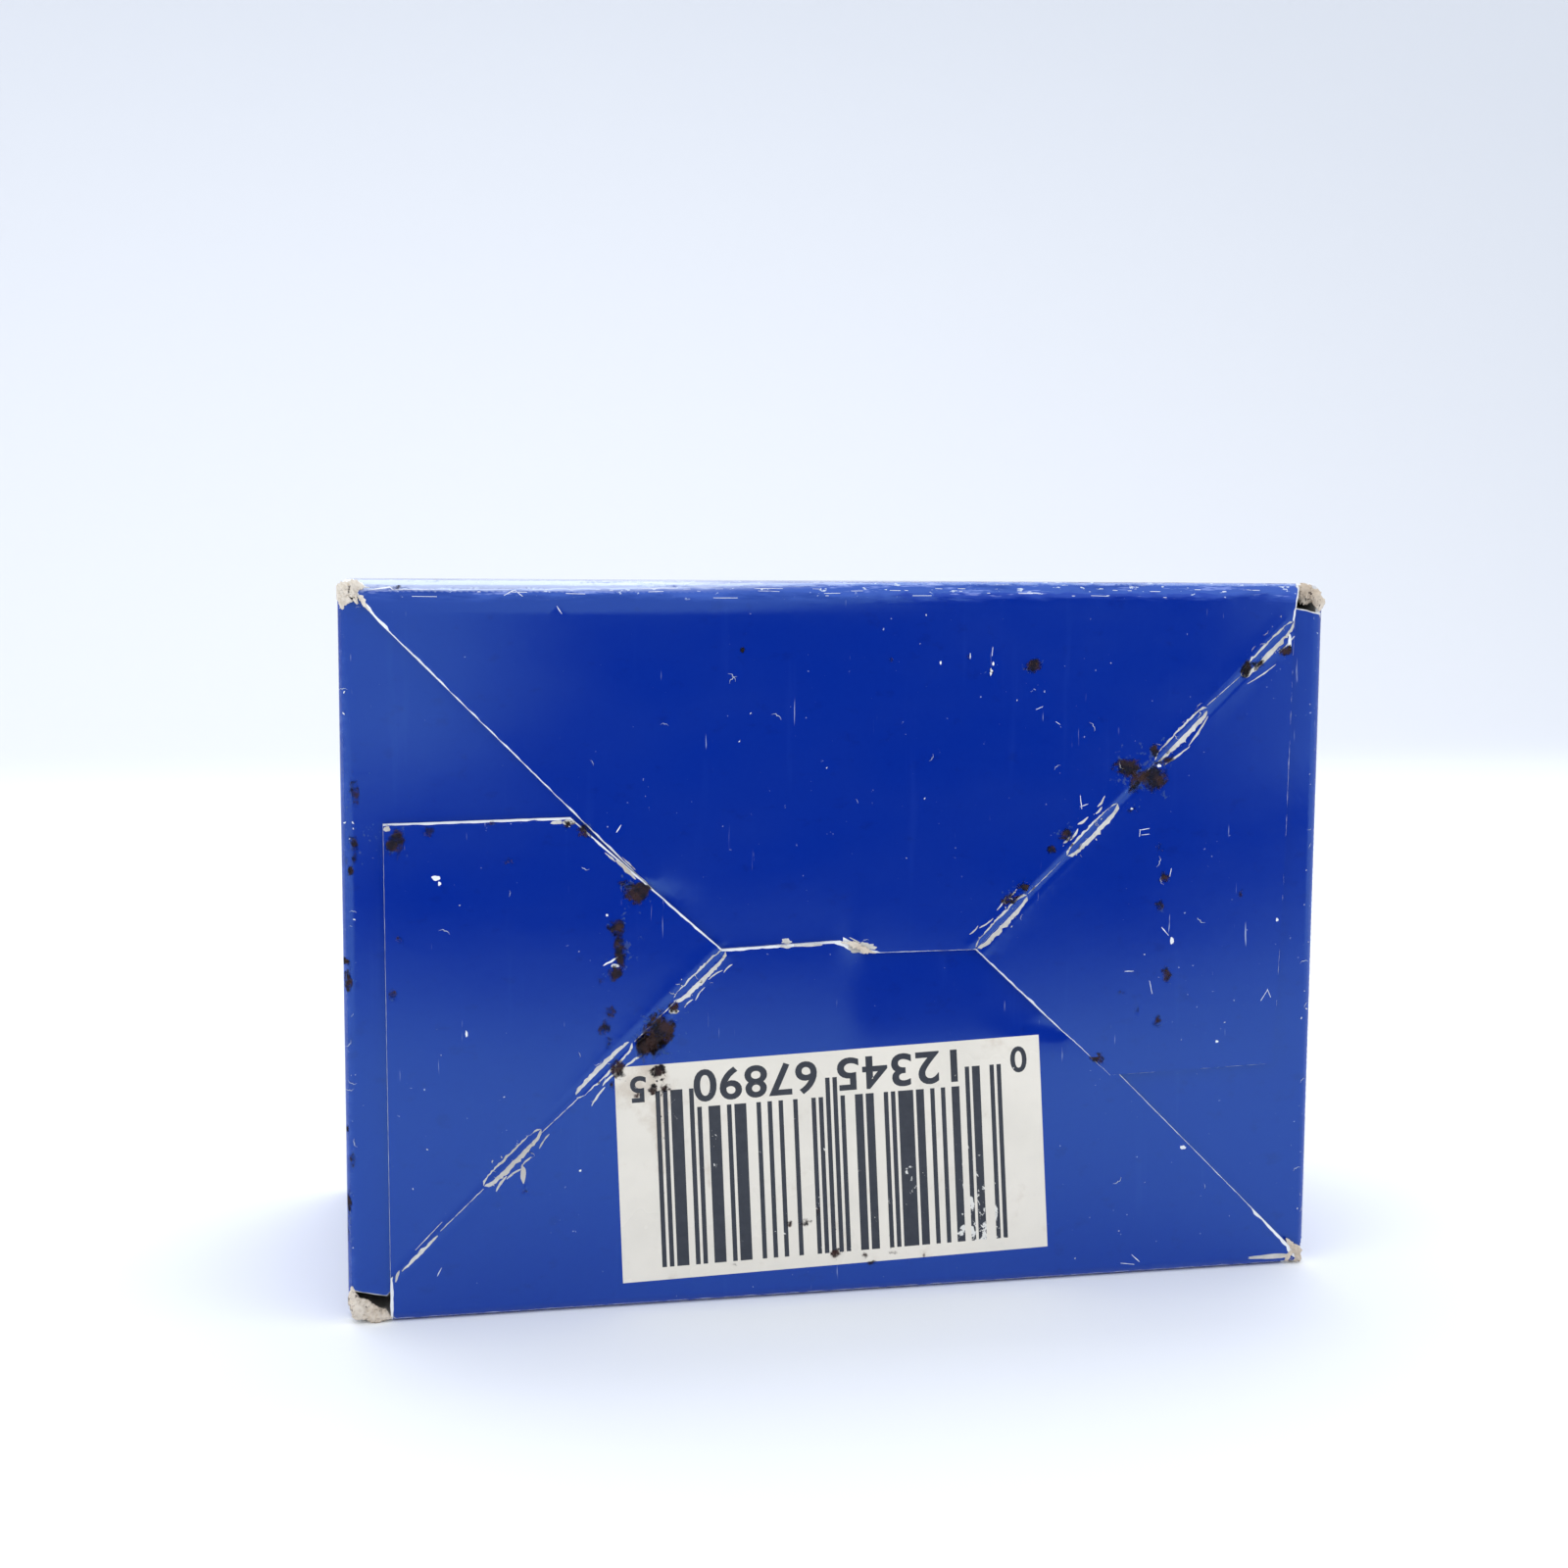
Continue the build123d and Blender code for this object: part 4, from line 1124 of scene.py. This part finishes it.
right_outline = [
    (0.1, side_front_edge + 1.2, cut(0.5, 0.2)), (1.6, side_front_edge, FOLD),
    (63.6, side_front_edge, cut(0.3, 0.1)), (63.8, side_front_edge + 0.5, cut(0.5, 0.2)),
    (high_edge - skin, side_front_edge + 1.0, FOLD), (high_edge - skin, side_back_edge - 0.3, CLEAN),
    (64.4, side_back_edge - 0.1, cut(0.15, 0.0)), (64.3, side_back_edge, FOLD),
    (5.0, side_back_edge, cut(0.15, 0.0)), (4.9, side_back_edge - 0.1, CLEAN),
    (0.1, side_back_edge - 0.3, cut(0.3, 0.04)),
]
make_board("right_panel_board", right_outline,
           sheet_place((right_x, 0, 0), (0, 0, 1), (0, 1, 0), (1, 0, 0), None, top_z, side_front_y, side_back_y),
           "sleeve", ["right_panel"], seed=20.0)

# ---- the tuck lid and the flaps behind it ----

back_face = dict(along=(1, 0, 0), across=(0, 0, 1), outward=(0, 1, 0))
lid_x = lid_high[0]
tuck_z = 0.78
tuck_edge = tuck_z + bend - quarter
lid_outline = [(-lid_x, tuck_edge, FOLD), (lid_x, tuck_edge, CLEAN), (lid_x, high_edge - skin, FOLD),
    (-lid_x, high_edge - skin, CLEAN)]
make_board("lid_board", lid_outline, sheet_place((0, back_y, 0), **back_face, low2=tuck_z, high2=top_z), "lid",
    ["lid"], seed=22.0)


def rounded(corners, radii, steps=7):
    """A polygon with some of its corners rounded. Each row is (u, v, edge kind)."""
    out = []
    n = len(corners)
    for i, (u, v, kind) in enumerate(corners):
        r = radii.get(i, 0)
        if not r:
            out.append((u, v, kind))
            continue
        p = np.array((u, v))
        a, b = np.array(corners[i - 1][:2]), np.array(corners[(i + 1) % n][:2])
        da, db = (a - p) / np.linalg.norm(a - p), (b - p) / np.linalg.norm(b - p)
        half = math.acos(float(np.clip(da @ db, -1, 1))) / 2
        t = r / math.tan(half)
        mid_line = (da + db) / np.linalg.norm(da + db)
        c = p + mid_line * r / math.sin(half)
        start, end = p + da * t - c, p + db * t - c
        a0, a1 = math.atan2(start[1], start[0]), math.atan2(end[1], end[0])
        turn = (a1 - a0 + math.pi) % (2 * math.pi) - math.pi
        for k in range(steps + 1):
            w = a0 + turn * k / steps
            out.append((c[0] + r * math.cos(w), c[1] + r * math.sin(w), kind if k == steps else corners[i - 1][2]))
    return out


tuck_x = span("tuck_flap")[1][0]
lean = math.radians(8.0)
tuck_tip = half_depth - board - 12.0
tuck_outline = rounded([(-tuck_x, tuck_tip, CLEAN), (tuck_x, tuck_tip, CLEAN), (tuck_x, back_edge - 0.1, FOLD),
    (-tuck_x, back_edge - 0.1, CLEAN)], {0: 6.0, 1: 6.0})
make_board("tuck_flap_board", tuck_outline,
           sheet_place((0, 0, tuck_z), (1, 0, 0), (0, 1, 0), (0, 0, -1), high2=back_y,
               turn=((half_depth - board, 1.25), -lean)), "tuck_flap", ["tuck_flap"], seed=24.0)


def dust_outline(mirror):
    rows = [(-side_edge, 5.1, CLEAN), (dust_high[0], 8.65, CLEAN), (dust_high[0], 50.7, CLEAN), (-44.9, 64.4, CLEAN),
        (-side_edge, 64.4, FOLD)]
    rows = rounded(rows, {1: 3.0, 2: 3.0})
    if mirror:
        rows = [(-u, v, k) for u, v, k in rows][::-1]
        rows = [(rows[i][0], rows[i][1], rows[(i + 1) % len(rows)][2]) for i in range(len(rows))]
    return rows


make_board("left_dust_flap_board", dust_outline(False), sheet_place((0, side_back_y, 0), **back_face, low1=left_x),
    "left_dust_flap", ["left_dust_flap"], seed=26.0)
make_board("right_dust_flap_board", dust_outline(True), sheet_place((0, side_back_y, 0), **back_face, high1=right_x),
    "right_dust_flap", ["right_dust_flap"], seed=28.0)

# ---- crushed corners, loose fibres and flakes ----

def held_in(points):
    """Keeps points inside the box's own outline."""
    low = np.array([-half_width + 0.01, -half_depth + 0.01, 0.0])
    high = np.array([half_width - 0.01, half_depth - 0.01, box_height - 0.01])
    return np.clip(points, low, high)


def surface_drop(x, z):
    """How far the printed surface lies behind the front plane at each place."""
    x, z = np.asarray(x), np.asarray(z)
    on_side = (x < -42.05) | ((z > 44.9) & (x + z < 19.9)) | (x > 42.3) | ((z < 19.7) & (x + z > 45.4))
    upper = (z > 32.4) & (x + z > 19.9) & (z - x > 20.2)
    lower = (z < 32.4) & (x + z < 45.4) & (z - x < 45.8)
    drop = np.where(upper, upper_depth(x, z), np.where(lower, lower_depth(x, z), 0.0))
    drop = np.where(on_side, side_front_y - front_y, drop)
    for gap in (half_width - skin - np.abs(x), np.where(on_side, 9.0, z), np.where(on_side, 9.0, top_z - z)):
        over = np.clip((bend - gap) / bend, 0.0, 0.97)
        drop = drop + bend * (1 - np.sqrt(1 - over * over))
    return drop


def loose_levels(grime=0.0):
    """Wear values of a piece that is dirty all over, or clean, with no painted sheen."""
    return {"grime": grime, "scuff": 0.0, "stain": 0.0, "crinkle": 0.0, "painted_sheen": 0.0}


def loose_piece(name, verts, faces, look, levels):
    """A closed piece that rides on the glued carton, from points in millimetres."""
    mesh = bpy.data.meshes.new(name)
    mesh.from_pydata([tuple(v) for v in held_in(np.array(verts)) * MM], [], faces)
    mesh.materials.append(look)
    mesh.polygons.foreach_set("use_smooth", [True] * len(faces))
    for label, level in levels.items():
        add_level(mesh, label, level)
    settle(mesh, 1.2)
    shown(name, mesh)


def frayed(name, path, radii, seed, rough=0.55, flat=0.8):
    """Crushed, fibrous board along a path: a tube whose skin is pulled about at several sizes."""
    path = np.array(path, dtype=float)
    radii = np.array(radii, dtype=float)
    run = np.concatenate([[0], np.cumsum(np.linalg.norm(np.diff(path, axis=0), axis=1))])
    count = max(16, int(run[-1] / 0.07))
    t = np.linspace(0, run[-1], count)
    centre = np.stack([np.interp(t, run, path[:, k]) for k in range(3)], axis=1)
    radius = np.interp(t, run, radii) * np.sqrt(np.clip(np.sin(np.pi * np.clip(t / run[-1], 0.004, 0.996)), 0,
        1)) ** 0.6
    ahead = np.gradient(centre, axis=0)
    ahead /= np.linalg.norm(ahead, axis=1)[:, None]
    across = np.cross(ahead, (0, 1, 0))
    across /= np.linalg.norm(across, axis=1)[:, None]
    over = np.cross(across, ahead)
    around = 40
    verts = []
    for i in range(count):
        for k in range(around):
            a = 2 * math.pi * k / around
            d = across[i] * math.cos(a) + over[i] * math.sin(a) * flat
            q = centre[i] + d * radius[i]
            pull = noise.noise(Vector(q * 1.3) + Vector((seed, 0,
                0))) + 0.7 * noise.noise(Vector(q * 3.4) + Vector((0, seed,
                0))) + 0.55 * noise.noise(Vector(q * 8.5) + Vector((0, 0, seed)))
            pull += 0.8 * max(0.0, noise.noise(Vector(q * 5.5) + Vector((seed, seed, 0))) - 0.25)
            verts.append(q + d * radius[i] * rough * pull)
    verts += [centre[0], centre[-1]]
    faces = []
    for i in range(count - 1):
        for k in range(around):
            n = (k + 1) % around
            faces.append((i * around + k, i * around + n, (i + 1) * around + n, (i + 1) * around + k))
    last = (count - 1) * around
    for k in range(around):
        n = (k + 1) % around
        faces.append((len(verts) - 2, n, k))
        faces.append((len(verts) - 1, last + k, last + n))
    loose_piece(name, verts, faces, crushed, loose_levels(grime=0.18))


fy = front_y
frayed("corner_fray_upper_left", [(-45.3, fy + 0.7, 63.3), (-44.9, fy + 0.8, 64.5), (-44.3, fy + 0.75, 65.1),
    (-43.4, fy + 0.6, 65.3)], [0.35, 0.9, 0.95, 0.3], 3.0)
frayed("corner_fray_upper_left_lip", [(-43.8, fy + 0.25, 64.5), (-43.2, fy + 0.2, 63.6), (-42.5, fy + 0.2, 62.7)],
    [0.34, 0.17, 0.05], 8.0)
frayed("corner_fray_upper_right", [(42.7, fy + 0.9, 65.5), (43.8, fy + 0.9, 65.45), (44.8, fy + 0.9, 64.9),
    (45.3, fy + 0.9, 64.0), (45.35, fy + 1.0, 63.3)], [0.3, 0.42, 0.5, 0.6, 0.3], 12.0, 0.5)
frayed("corner_fray_upper_right_ply", [(43.0, fy + 1.5, 65.3), (44.0, fy + 1.5, 65.0), (45.0, fy + 1.5, 64.4)],
    [0.7, 0.95, 0.6], 15.0, 0.6)
frayed("corner_fray_lower_left", [(-45.35, fy + 0.8, 3.3), (-45.2, fy + 0.7, 2.0), (-44.6, fy + 0.6, 1.1),
    (-43.6, fy + 0.6, 0.75), (-42.4, fy + 0.5, 0.55), (-41.9, fy + 0.5, 0.3)], [0.3, 0.62, 0.85, 0.8, 0.7, 0.3],
    21.0, 0.5)
frayed("corner_fray_lower_right", [(41.8, fy + 0.4, 0.7), (43.6, fy + 0.35, 0.75), (44.6, fy + 0.6, 0.9),
    (45.3, fy + 0.9, 1.2)], [0.1, 0.42, 0.75, 0.5], 27.0, 0.65)
frayed("corner_fray_lower_right_lip", [(43.5, fy + 0.15, 2.6), (44.2, fy + 0.3, 1.7), (45.0, fy + 0.5, 0.8)],
    [0.14, 0.4, 0.55], 31.0, 0.7)
frayed("seam_fray", [(-1.2, fy + 0.12, 33.1), (0.0, fy + 0.1, 32.85), (1.0, fy + 0.12, 32.3),
    (2.2, fy + 0.2, 31.95)], [0.06, 0.28, 0.3, 0.05], 35.0, 0.8, 0.4)
frayed("lock_fray", [(-21.9, fy + 0.12, 41.2), (-21.1, fy + 0.1, 40.5), (-20.5, fy + 0.1, 39.9),
    (-20.0, fy + 0.14, 39.4)], [0.05, 0.17, 0.13, 0.04], 38.0, 0.7, 0.4)


def dirt_smears(name, spots):
    """Thin smears of dirt lying on the print, each a closed plate whose grime value falls to nothing at its rim."""
    verts, faces, loads = [], [], []
    around = 22
    rings = (0.22, 0.45, 0.68, 0.86, 1.0)
    for number, (x, z, rx, rz, turn, load) in enumerate(spots):
        c, sn = math.cos(turn), math.sin(turn)
        rx, rz = 1.55 * rx, 1.55 * rz
        rows = [np.array([(x, z)])]
        held_rows = [np.array([load])]
        for ring in rings:
            row = []
            for k in range(around):
                a = 2 * math.pi * k / around
                r = ring * (1 + 0.38 * noise.noise((math.cos(a) * 1.4, math.sin(a) * 1.4, 5.3 * number)))
                dx, dz = rx * r * math.cos(a), rz * r * math.sin(a)
                row.append((x + dx * c - dz * sn, z + dx * sn + dz * c))
            rows.append(np.array(row))
            held_rows.append(np.full(around, load * (1 - ring ** 1.8)))
        spot = np.concatenate(rows)
        spot[:, 0] = np.clip(spot[:, 0], -half_width + 0.12, half_width - 0.12)
        spot[:, 1] = np.clip(spot[:, 1], 0.1, box_height - 0.3)
        drop = surface_drop(spot[:, 0], spot[:, 1])
        first, n = len(verts), len(spot)
        for lift in (-0.025, 0.02):
            verts += [(px, front_y + lift + d, pz) for (px, pz), d in zip(spot, drop)]
            loads += list(np.concatenate(held_rows))
        for side in (0, 1):
            base = first + side * n
            patch = [(base, base + 1 + k, base + 1 + (k + 1) % around) for k in range(around)]
            for j in range(len(rings) - 1):
                low, high = base + 1 + j * around, base + 1 + (j + 1) * around
                patch += [(low + k, high + k, high + (k + 1) % around, low + (k + 1) % around) for k in range(around)]
            faces += patch if side == 0 else [f[::-1] for f in patch]
        rim = first + 1 + (len(rings) - 1) * around
        faces += [(rim + k, rim + n + k, rim + n + (k + 1) % around, rim + (k + 1) % around) for k in range(around)]
    loose_piece(name, verts, faces, greasy_smear, {"grime": loads})


dirt_smears("dirt_smears", dirt_spots)


def scatter_tree():
    """Lays copies of a small bit over a guide surface, turned and sized at random."""
    tree = bpy.data.node_groups.new("scatter_bits", "GeometryNodeTree")
    face_in = {"Guide": "NodeSocketGeometry", "Bit": "NodeSocketObject", "Density": "NodeSocketFloat",
        "Smallest": "NodeSocketFloat",
               "Largest": "NodeSocketFloat", "Seed": "NodeSocketInt", "Finish": "NodeSocketMaterial"}
    for label, kind in face_in.items():
        tree.interface.new_socket(label, in_out="INPUT", socket_type=kind)
    tree.interface.new_socket("Bits", in_out="OUTPUT", socket_type="NodeSocketGeometry")
    nodes, links = tree.nodes, tree.links
    given, out = nodes.new("NodeGroupInput"), nodes.new("NodeGroupOutput")
    spread = nodes.new("GeometryNodeDistributePointsOnFaces")
    links.new(given.outputs["Guide"], spread.inputs["Mesh"])
    links.new(given.outputs["Density"], spread.inputs["Density"])
    links.new(given.outputs["Seed"], spread.inputs["Seed"])
    bit = nodes.new("GeometryNodeObjectInfo")
    links.new(given.outputs["Bit"], bit.inputs["Object"])
    turn = nodes.new("FunctionNodeRandomValue")
    turn.data_type = "FLOAT_VECTOR"
    turn.inputs[0].default_value = (-0.12, 0.0, -0.12)
    turn.inputs[1].default_value = (0.12, 2 * math.pi, 0.12)
    size = nodes.new("FunctionNodeRandomValue")
    size.data_type = "FLOAT"
    links.new(given.outputs["Smallest"], size.inputs[2])
    links.new(given.outputs["Largest"], size.inputs[3])
    for node in (turn, size):
        links.new(given.outputs["Seed"], node.inputs["Seed"])
    lay = nodes.new("GeometryNodeInstanceOnPoints")
    links.new(spread.outputs["Points"], lay.inputs["Points"])
    links.new(bit.outputs["Geometry"], lay.inputs["Instance"])
    links.new(turn.outputs[0], lay.inputs["Rotation"])
    links.new(size.outputs[1], lay.inputs["Scale"])
    real = nodes.new("GeometryNodeRealizeInstances")
    links.new(lay.outputs["Instances"], real.inputs[0])
    coat = nodes.new("GeometryNodeSetMaterial")
    links.new(real.outputs[0], coat.inputs["Geometry"])
    links.new(given.outputs["Finish"], coat.inputs["Material"])
    links.new(coat.outputs[0], out.inputs[0])
    return tree


SCATTER = scatter_tree()


def fibre_bit():
    """A curled fibre lying flat, with a thin round section."""
    spine = [(0.5 * (t - 0.5) + 0.05 * math.sin(7 * t),
        0.14 * math.sin(math.pi * t) + 0.05 * math.sin(9 * t)) for t in np.linspace(0, 1, 12)]
    verts, faces = [], []
    for i, (x, z) in enumerate(spine):
        r = 0.019 * (1 - 0.75 * abs(2 * i / 11 - 1) ** 2)
        for k in range(5):
            a = 2 * math.pi * k / 5
            verts.append((x * MM, r * math.cos(a) * MM * 0.8, (z + r * math.sin(a)) * MM))
    for i in range(11):
        for k in range(5):
            n = (k + 1) % 5
            faces.append((i * 5 + k, i * 5 + n, i * 5 + 5 + n, i * 5 + 5 + k))
    faces += [(4, 3, 2, 1, 0), (55, 56, 57, 58, 59)]
    return bit_object("fibre_bit", verts, faces)


def flake_bit(name, wide, tall, points):
    """A torn flake with an uneven outline."""
    loop = lump(0.0, 0.0, wide, tall, 4.0, points, 0.9)
    verts = [(x * MM, -0.015 * MM, z * MM) for x, z in loop] + [(x * MM * 0.9, 0.03 * MM, z * MM * 0.9) for x,
        z in loop]
    n = len(loop)
    faces = [tuple(range(n)), tuple(range(2 * n - 1, n - 1, -1))] + [(i, i + n, (i + 1) % n + n,
        (i + 1) % n) for i in range(n)]
    return bit_object(name, verts, faces)


def bit_object(name, verts, faces):
    """A small bit for the scatter, kept out of the scene."""
    mesh = bpy.data.meshes.new(name)
    mesh.from_pydata(verts, [], faces)
    settle(mesh)
    return bpy.data.objects.new(name, mesh)


def scatter(name, patches, bit, density, smallest, largest, seed, finish_used):
    """patches is a list of outlines on the front; density is bits per square millimetre."""
    verts, faces = [], []
    y = -half_depth + 0.03
    for outline in patches:
        verts += [(x * MM, y * MM, z * MM) for x, z in outline]
        faces.append(tuple(range(len(verts) - len(outline), len(verts))))
    guide = bpy.data.meshes.new(name + "_guide")
    guide.from_pydata(verts, [], faces)
    holder = bpy.data.objects.new(name + "_guide", guide)
    scene.collection.objects.link(holder)
    change = holder.modifiers.new("bits", "NODES")
    change.node_group = SCATTER
    values = {"Bit": bit, "Density": density / MM ** 2, "Smallest": smallest, "Largest": largest, "Seed": seed,
        "Finish": finish_used}
    for item in SCATTER.interface.items_tree:
        if item.in_out == "INPUT" and item.name in values:
            change[item.identifier] = values[item.name]
    holder.update_tag()
    shape = bpy.context.evaluated_depsgraph_get()
    mesh = bpy.data.meshes.new_from_object(holder.evaluated_get(shape), depsgraph=shape)
    holder.modifiers.remove(change)
    bpy.data.objects.remove(holder)
    co = np.empty(len(mesh.vertices) * 3)
    mesh.vertices.foreach_get("co", co)
    points = co.reshape(-1, 3) / MM
    points[:, 1] += surface_drop(points[:, 0], points[:, 2])
    mesh.vertices.foreach_set("co", (held_in(points) * MM).ravel())
    mesh.name = name
    for label, level in loose_levels().items():
        add_level(mesh, label, level)
    settle(mesh, 1.0)
    shown(name, mesh)


def oblong(x, z, width, height, a):
    """A rectangle about its middle, turned by a."""
    c, sn = math.cos(a), math.sin(a)
    return [(x + dx * c - dz * sn, z + dx * sn + dz * c) for dx,
        dz in ((-width / 2, -height / 2), (width / 2, -height / 2), (width / 2, height / 2),
        (-width / 2, height / 2))]


dash_patches = [oblong((a[0] + b[0]) / 2, (a[1] + b[1]) / 2, 6.4, 2.6, math.pi / 4) for a, b,
    *_ in right_dashes + left_dashes]
edge_patches = [oblong(*row) for row in [(44.9, 33.0, 1.0, 60.0, 0.0), (-45.0, 30.0, 0.8, 56.0, 0.0),
    (0.4, 32.8, 3.4, 1.6, -0.4), (-20.8, 40.6, 2.4, 1.6, -0.8), (-44.2, 64.6, 2.6, 2.4, 0.0),
                (44.5, 64.4, 2.0, 2.2, 0.0), (-43.8, 1.4, 3.2, 1.8, 0.0), (44.3, 1.2, 2.4, 1.8, 0.0),
                (8.8, 31.7, 2.2, 0.8, 0.0)]]
wide_patches = [oblong(*row) for row in [(0.0, 52.0, 52.0, 26.0, 0.0), (34.0, 36.0, 13.0, 28.0, 0.0),
    (-33.0, 26.0, 16.0, 32.0, 0.0), (0.0, 1.2, 80.0, 1.6, 0.0), (28.0, 8.0, 14.0, 10.0, 0.0)]]
dirt_patches = [lump(x, z, 0.6 * rx * load, 0.6 * rz * load, 3.0 * i, 11, 1.0) for i,
    (x, z, rx, rz, turn, load) in enumerate(dirt_spots) if load > 0.65]
fibre, flake, crumb = fibre_bit(), flake_bit("flake_bit", 0.10, 0.06, 9), flake_bit("crumb_bit", 0.10, 0.085, 7)
scatter("crease_fibres", dash_patches, fibre, 0.30, 0.5, 1.5, 4, torn)
scatter("crease_flakes", dash_patches, flake, 0.35, 0.3, 1.1, 9, torn)
scatter("edge_fibres", edge_patches, fibre, 0.16, 0.5, 1.7, 14, hair)
scatter("edge_flakes", edge_patches, flake, 0.22, 0.3, 1.1, 19, cut_edge)
scatter("stray_fibres", wide_patches, fibre, 0.008, 0.8, 2.2, 24, hair)
scatter("stray_flakes", wide_patches, flake, 0.012, 0.25, 0.8, 29, cut_edge)
scatter("dirt_crumbs", dirt_patches, crumb, 4.0, 0.25, 1.0, 34, dried_dirt)
for bit in (crumb, fibre, flake):
    bpy.data.objects.remove(bit)

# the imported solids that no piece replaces, the seam flap and the glue films, keep their own shapes
for node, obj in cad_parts.items():
    finish_for = dried_glue if node.endswith("glue") else plain_back
    obj.data.materials.clear()
    obj.data.materials.append(finish_for)

# ---- stage, lights and camera ----

def curved_stage():
    """A white floor that turns up into a pale wall behind the box."""
    rows = [(-1.6, 0.0), (0.55, 0.0)]
    rows += [(0.55 + 0.35 * math.sin(a), 0.35 * (1 - math.cos(a))) for a in np.linspace(0.1, math.pi / 2, 14)]
    rows += [(0.9, 1.6)]
    verts, faces = [], []
    for i, (y, z) in enumerate(rows):
        verts += [(-2.2, y, z), (2.2, y, z)]
        if i:
            faces.append((2 * i - 2, 2 * i - 1, 2 * i + 1, 2 * i))
    mesh = bpy.data.meshes.new("stage_floor")
    mesh.from_pydata(verts, [], faces)
    mesh.polygons.foreach_set("use_smooth", [True] * len(faces))
    floor = bpy.data.objects.new("stage_floor", mesh)
    scene.collection.objects.link(floor)
    material, shader, w = plain_material("stage_paper", Roughness=0.9, Specular_IOR_Level=0.1)
    place = w.put("ShaderNodeTexCoord").outputs["Object"]
    parts = w.put("ShaderNodeSeparateXYZ", {0: place})
    rise = w.ramp(parts.outputs[1], 0.12, 0.62)
    tone = w.mix(rise, (0.925, 0.945, 0.975, 1.0), (0.70, 0.718, 0.76, 1.0))
    material.node_tree.links.new(tone, shader.inputs["Base Color"])
    mesh.materials.append(material)


def mirrored_card(name, verts, standing=False):
    """A dark sheet in front of the box, painted shade that only the glossy print mirrors. It fades to paper white at
    its rim.
    """
    painted_shade, paper = (0.02, 0.021, 0.024, 1.0), (0.93, 0.935, 0.94, 1.0)
    mesh = bpy.data.meshes.new(name)
    mesh.from_pydata(verts, [], [(0, 1, 2, 3)])
    card = bpy.data.objects.new(name, mesh)
    scene.collection.objects.link(card)
    material, shader, w = plain_material(name + "_cloth", Roughness=0.9, Specular_IOR_Level=0.1)
    parts = w.put("ShaderNodeSeparateXYZ", {0: w.put("ShaderNodeTexCoord").outputs["Object"]})
    if standing:
        side = w.math("ABSOLUTE", w.math("SUBTRACT", parts.outputs[0], 0.165))
        far = w.most(w.times(parts.outputs[2], 1.0 / 0.115), w.times(side, 1.0 / 0.20))
        fade = w.ramp(far, 0.60, 1.0)
    else:
        away = w.plus(parts.outputs[1], 0.42)
        along = w.times(w.plus(w.math("SUBTRACT", parts.outputs[0], 0.095), w.times(away, 0.27)), 1.0 / 0.172)
        away = w.times(away, 1.0 / 0.30)
        far = w.math("SQRT", w.plus(w.times(along, along), w.times(away, away)))
        fade = w.ramp(far, 0.72, 1.12)
    material.node_tree.links.new(w.mix(fade, painted_shade, paper), shader.inputs["Base Color"])
    mesh.materials.append(material)
    card.visible_camera = card.visible_diffuse = card.visible_shadow = False


def lamp(name, place, target, size, power, colour):
    """A soft rectangular lamp that faces its target."""
    light = bpy.data.lights.new(name, "AREA")
    light.shape = "RECTANGLE"
    light.size, light.size_y = size
    light.energy = power
    light.color = colour
    holder = bpy.data.objects.new(name, light)
    holder.location = place
    holder.rotation_euler = (Vector(target) - Vector(place)).to_track_quat("-Z", "Y").to_euler()
    scene.collection.objects.link(holder)


curved_stage()
# Painted shade: dark sheets in front of the box, seen only in the glossy print's reflection.
mirrored_card("near_card", [(-0.25, -0.80, 0.0005), (0.48, -0.80, 0.0005), (0.48, -0.08, 0.0005),
    (-0.25, -0.08, 0.0005)])
mirrored_card("far_card", [(-0.04, -0.62, 0.001), (0.37, -0.62, 0.001), (0.37, -0.62, 0.115), (-0.04, -0.62, 0.115)],
    True)
lamp("soft_top", (0.0, 0.40, 0.70), (0, 0, 0.03), (0.9, 0.6), 3.15, (1.0, 0.99, 0.975))
lamp("soft_left", (-0.75, -0.45, 0.42), (0, 0, 0.03), (0.5, 0.6), 1.02, (0.97, 0.99, 1.0))
lamp("soft_right", (0.8, -0.4, 0.4), (0, 0, 0.03), (0.5, 0.6), 0.9, (0.97, 0.99, 1.0))
world = bpy.data.worlds.new("soft_room")
world.use_nodes = True
background = world.node_tree.nodes["Background"]
background.inputs["Color"].default_value = (0.93, 0.968, 1.02, 1.0)
background.inputs["Strength"].default_value = 1.08
scene.world = world
scene.view_settings.view_transform = "Standard"

camera_data = bpy.data.cameras.new("camera")
camera_data.sensor_width = 36.0
camera_data.lens = 47.03
camera_data.clip_start = 0.01
camera = bpy.data.objects.new("camera", camera_data)
scene.collection.objects.link(camera)
turn = Matrix.Rotation(math.radians(-11.439), 3, "Z") @ Matrix.Rotation(math.radians(-5.747), 3,
    "X") @ Matrix.Rotation(math.radians(-0.311), 3, "Y")
right, ahead, up = (turn @ Vector(v) for v in ((1, 0, 0), (0, 1, 0), (0, 0, 1)))
pose = Matrix((right, up, -ahead)).transposed().to_4x4()
pose.translation = Vector((-43.0, -179.96 - half_depth, 66.2)) * MM
camera.matrix_world = pose
scene.camera = camera
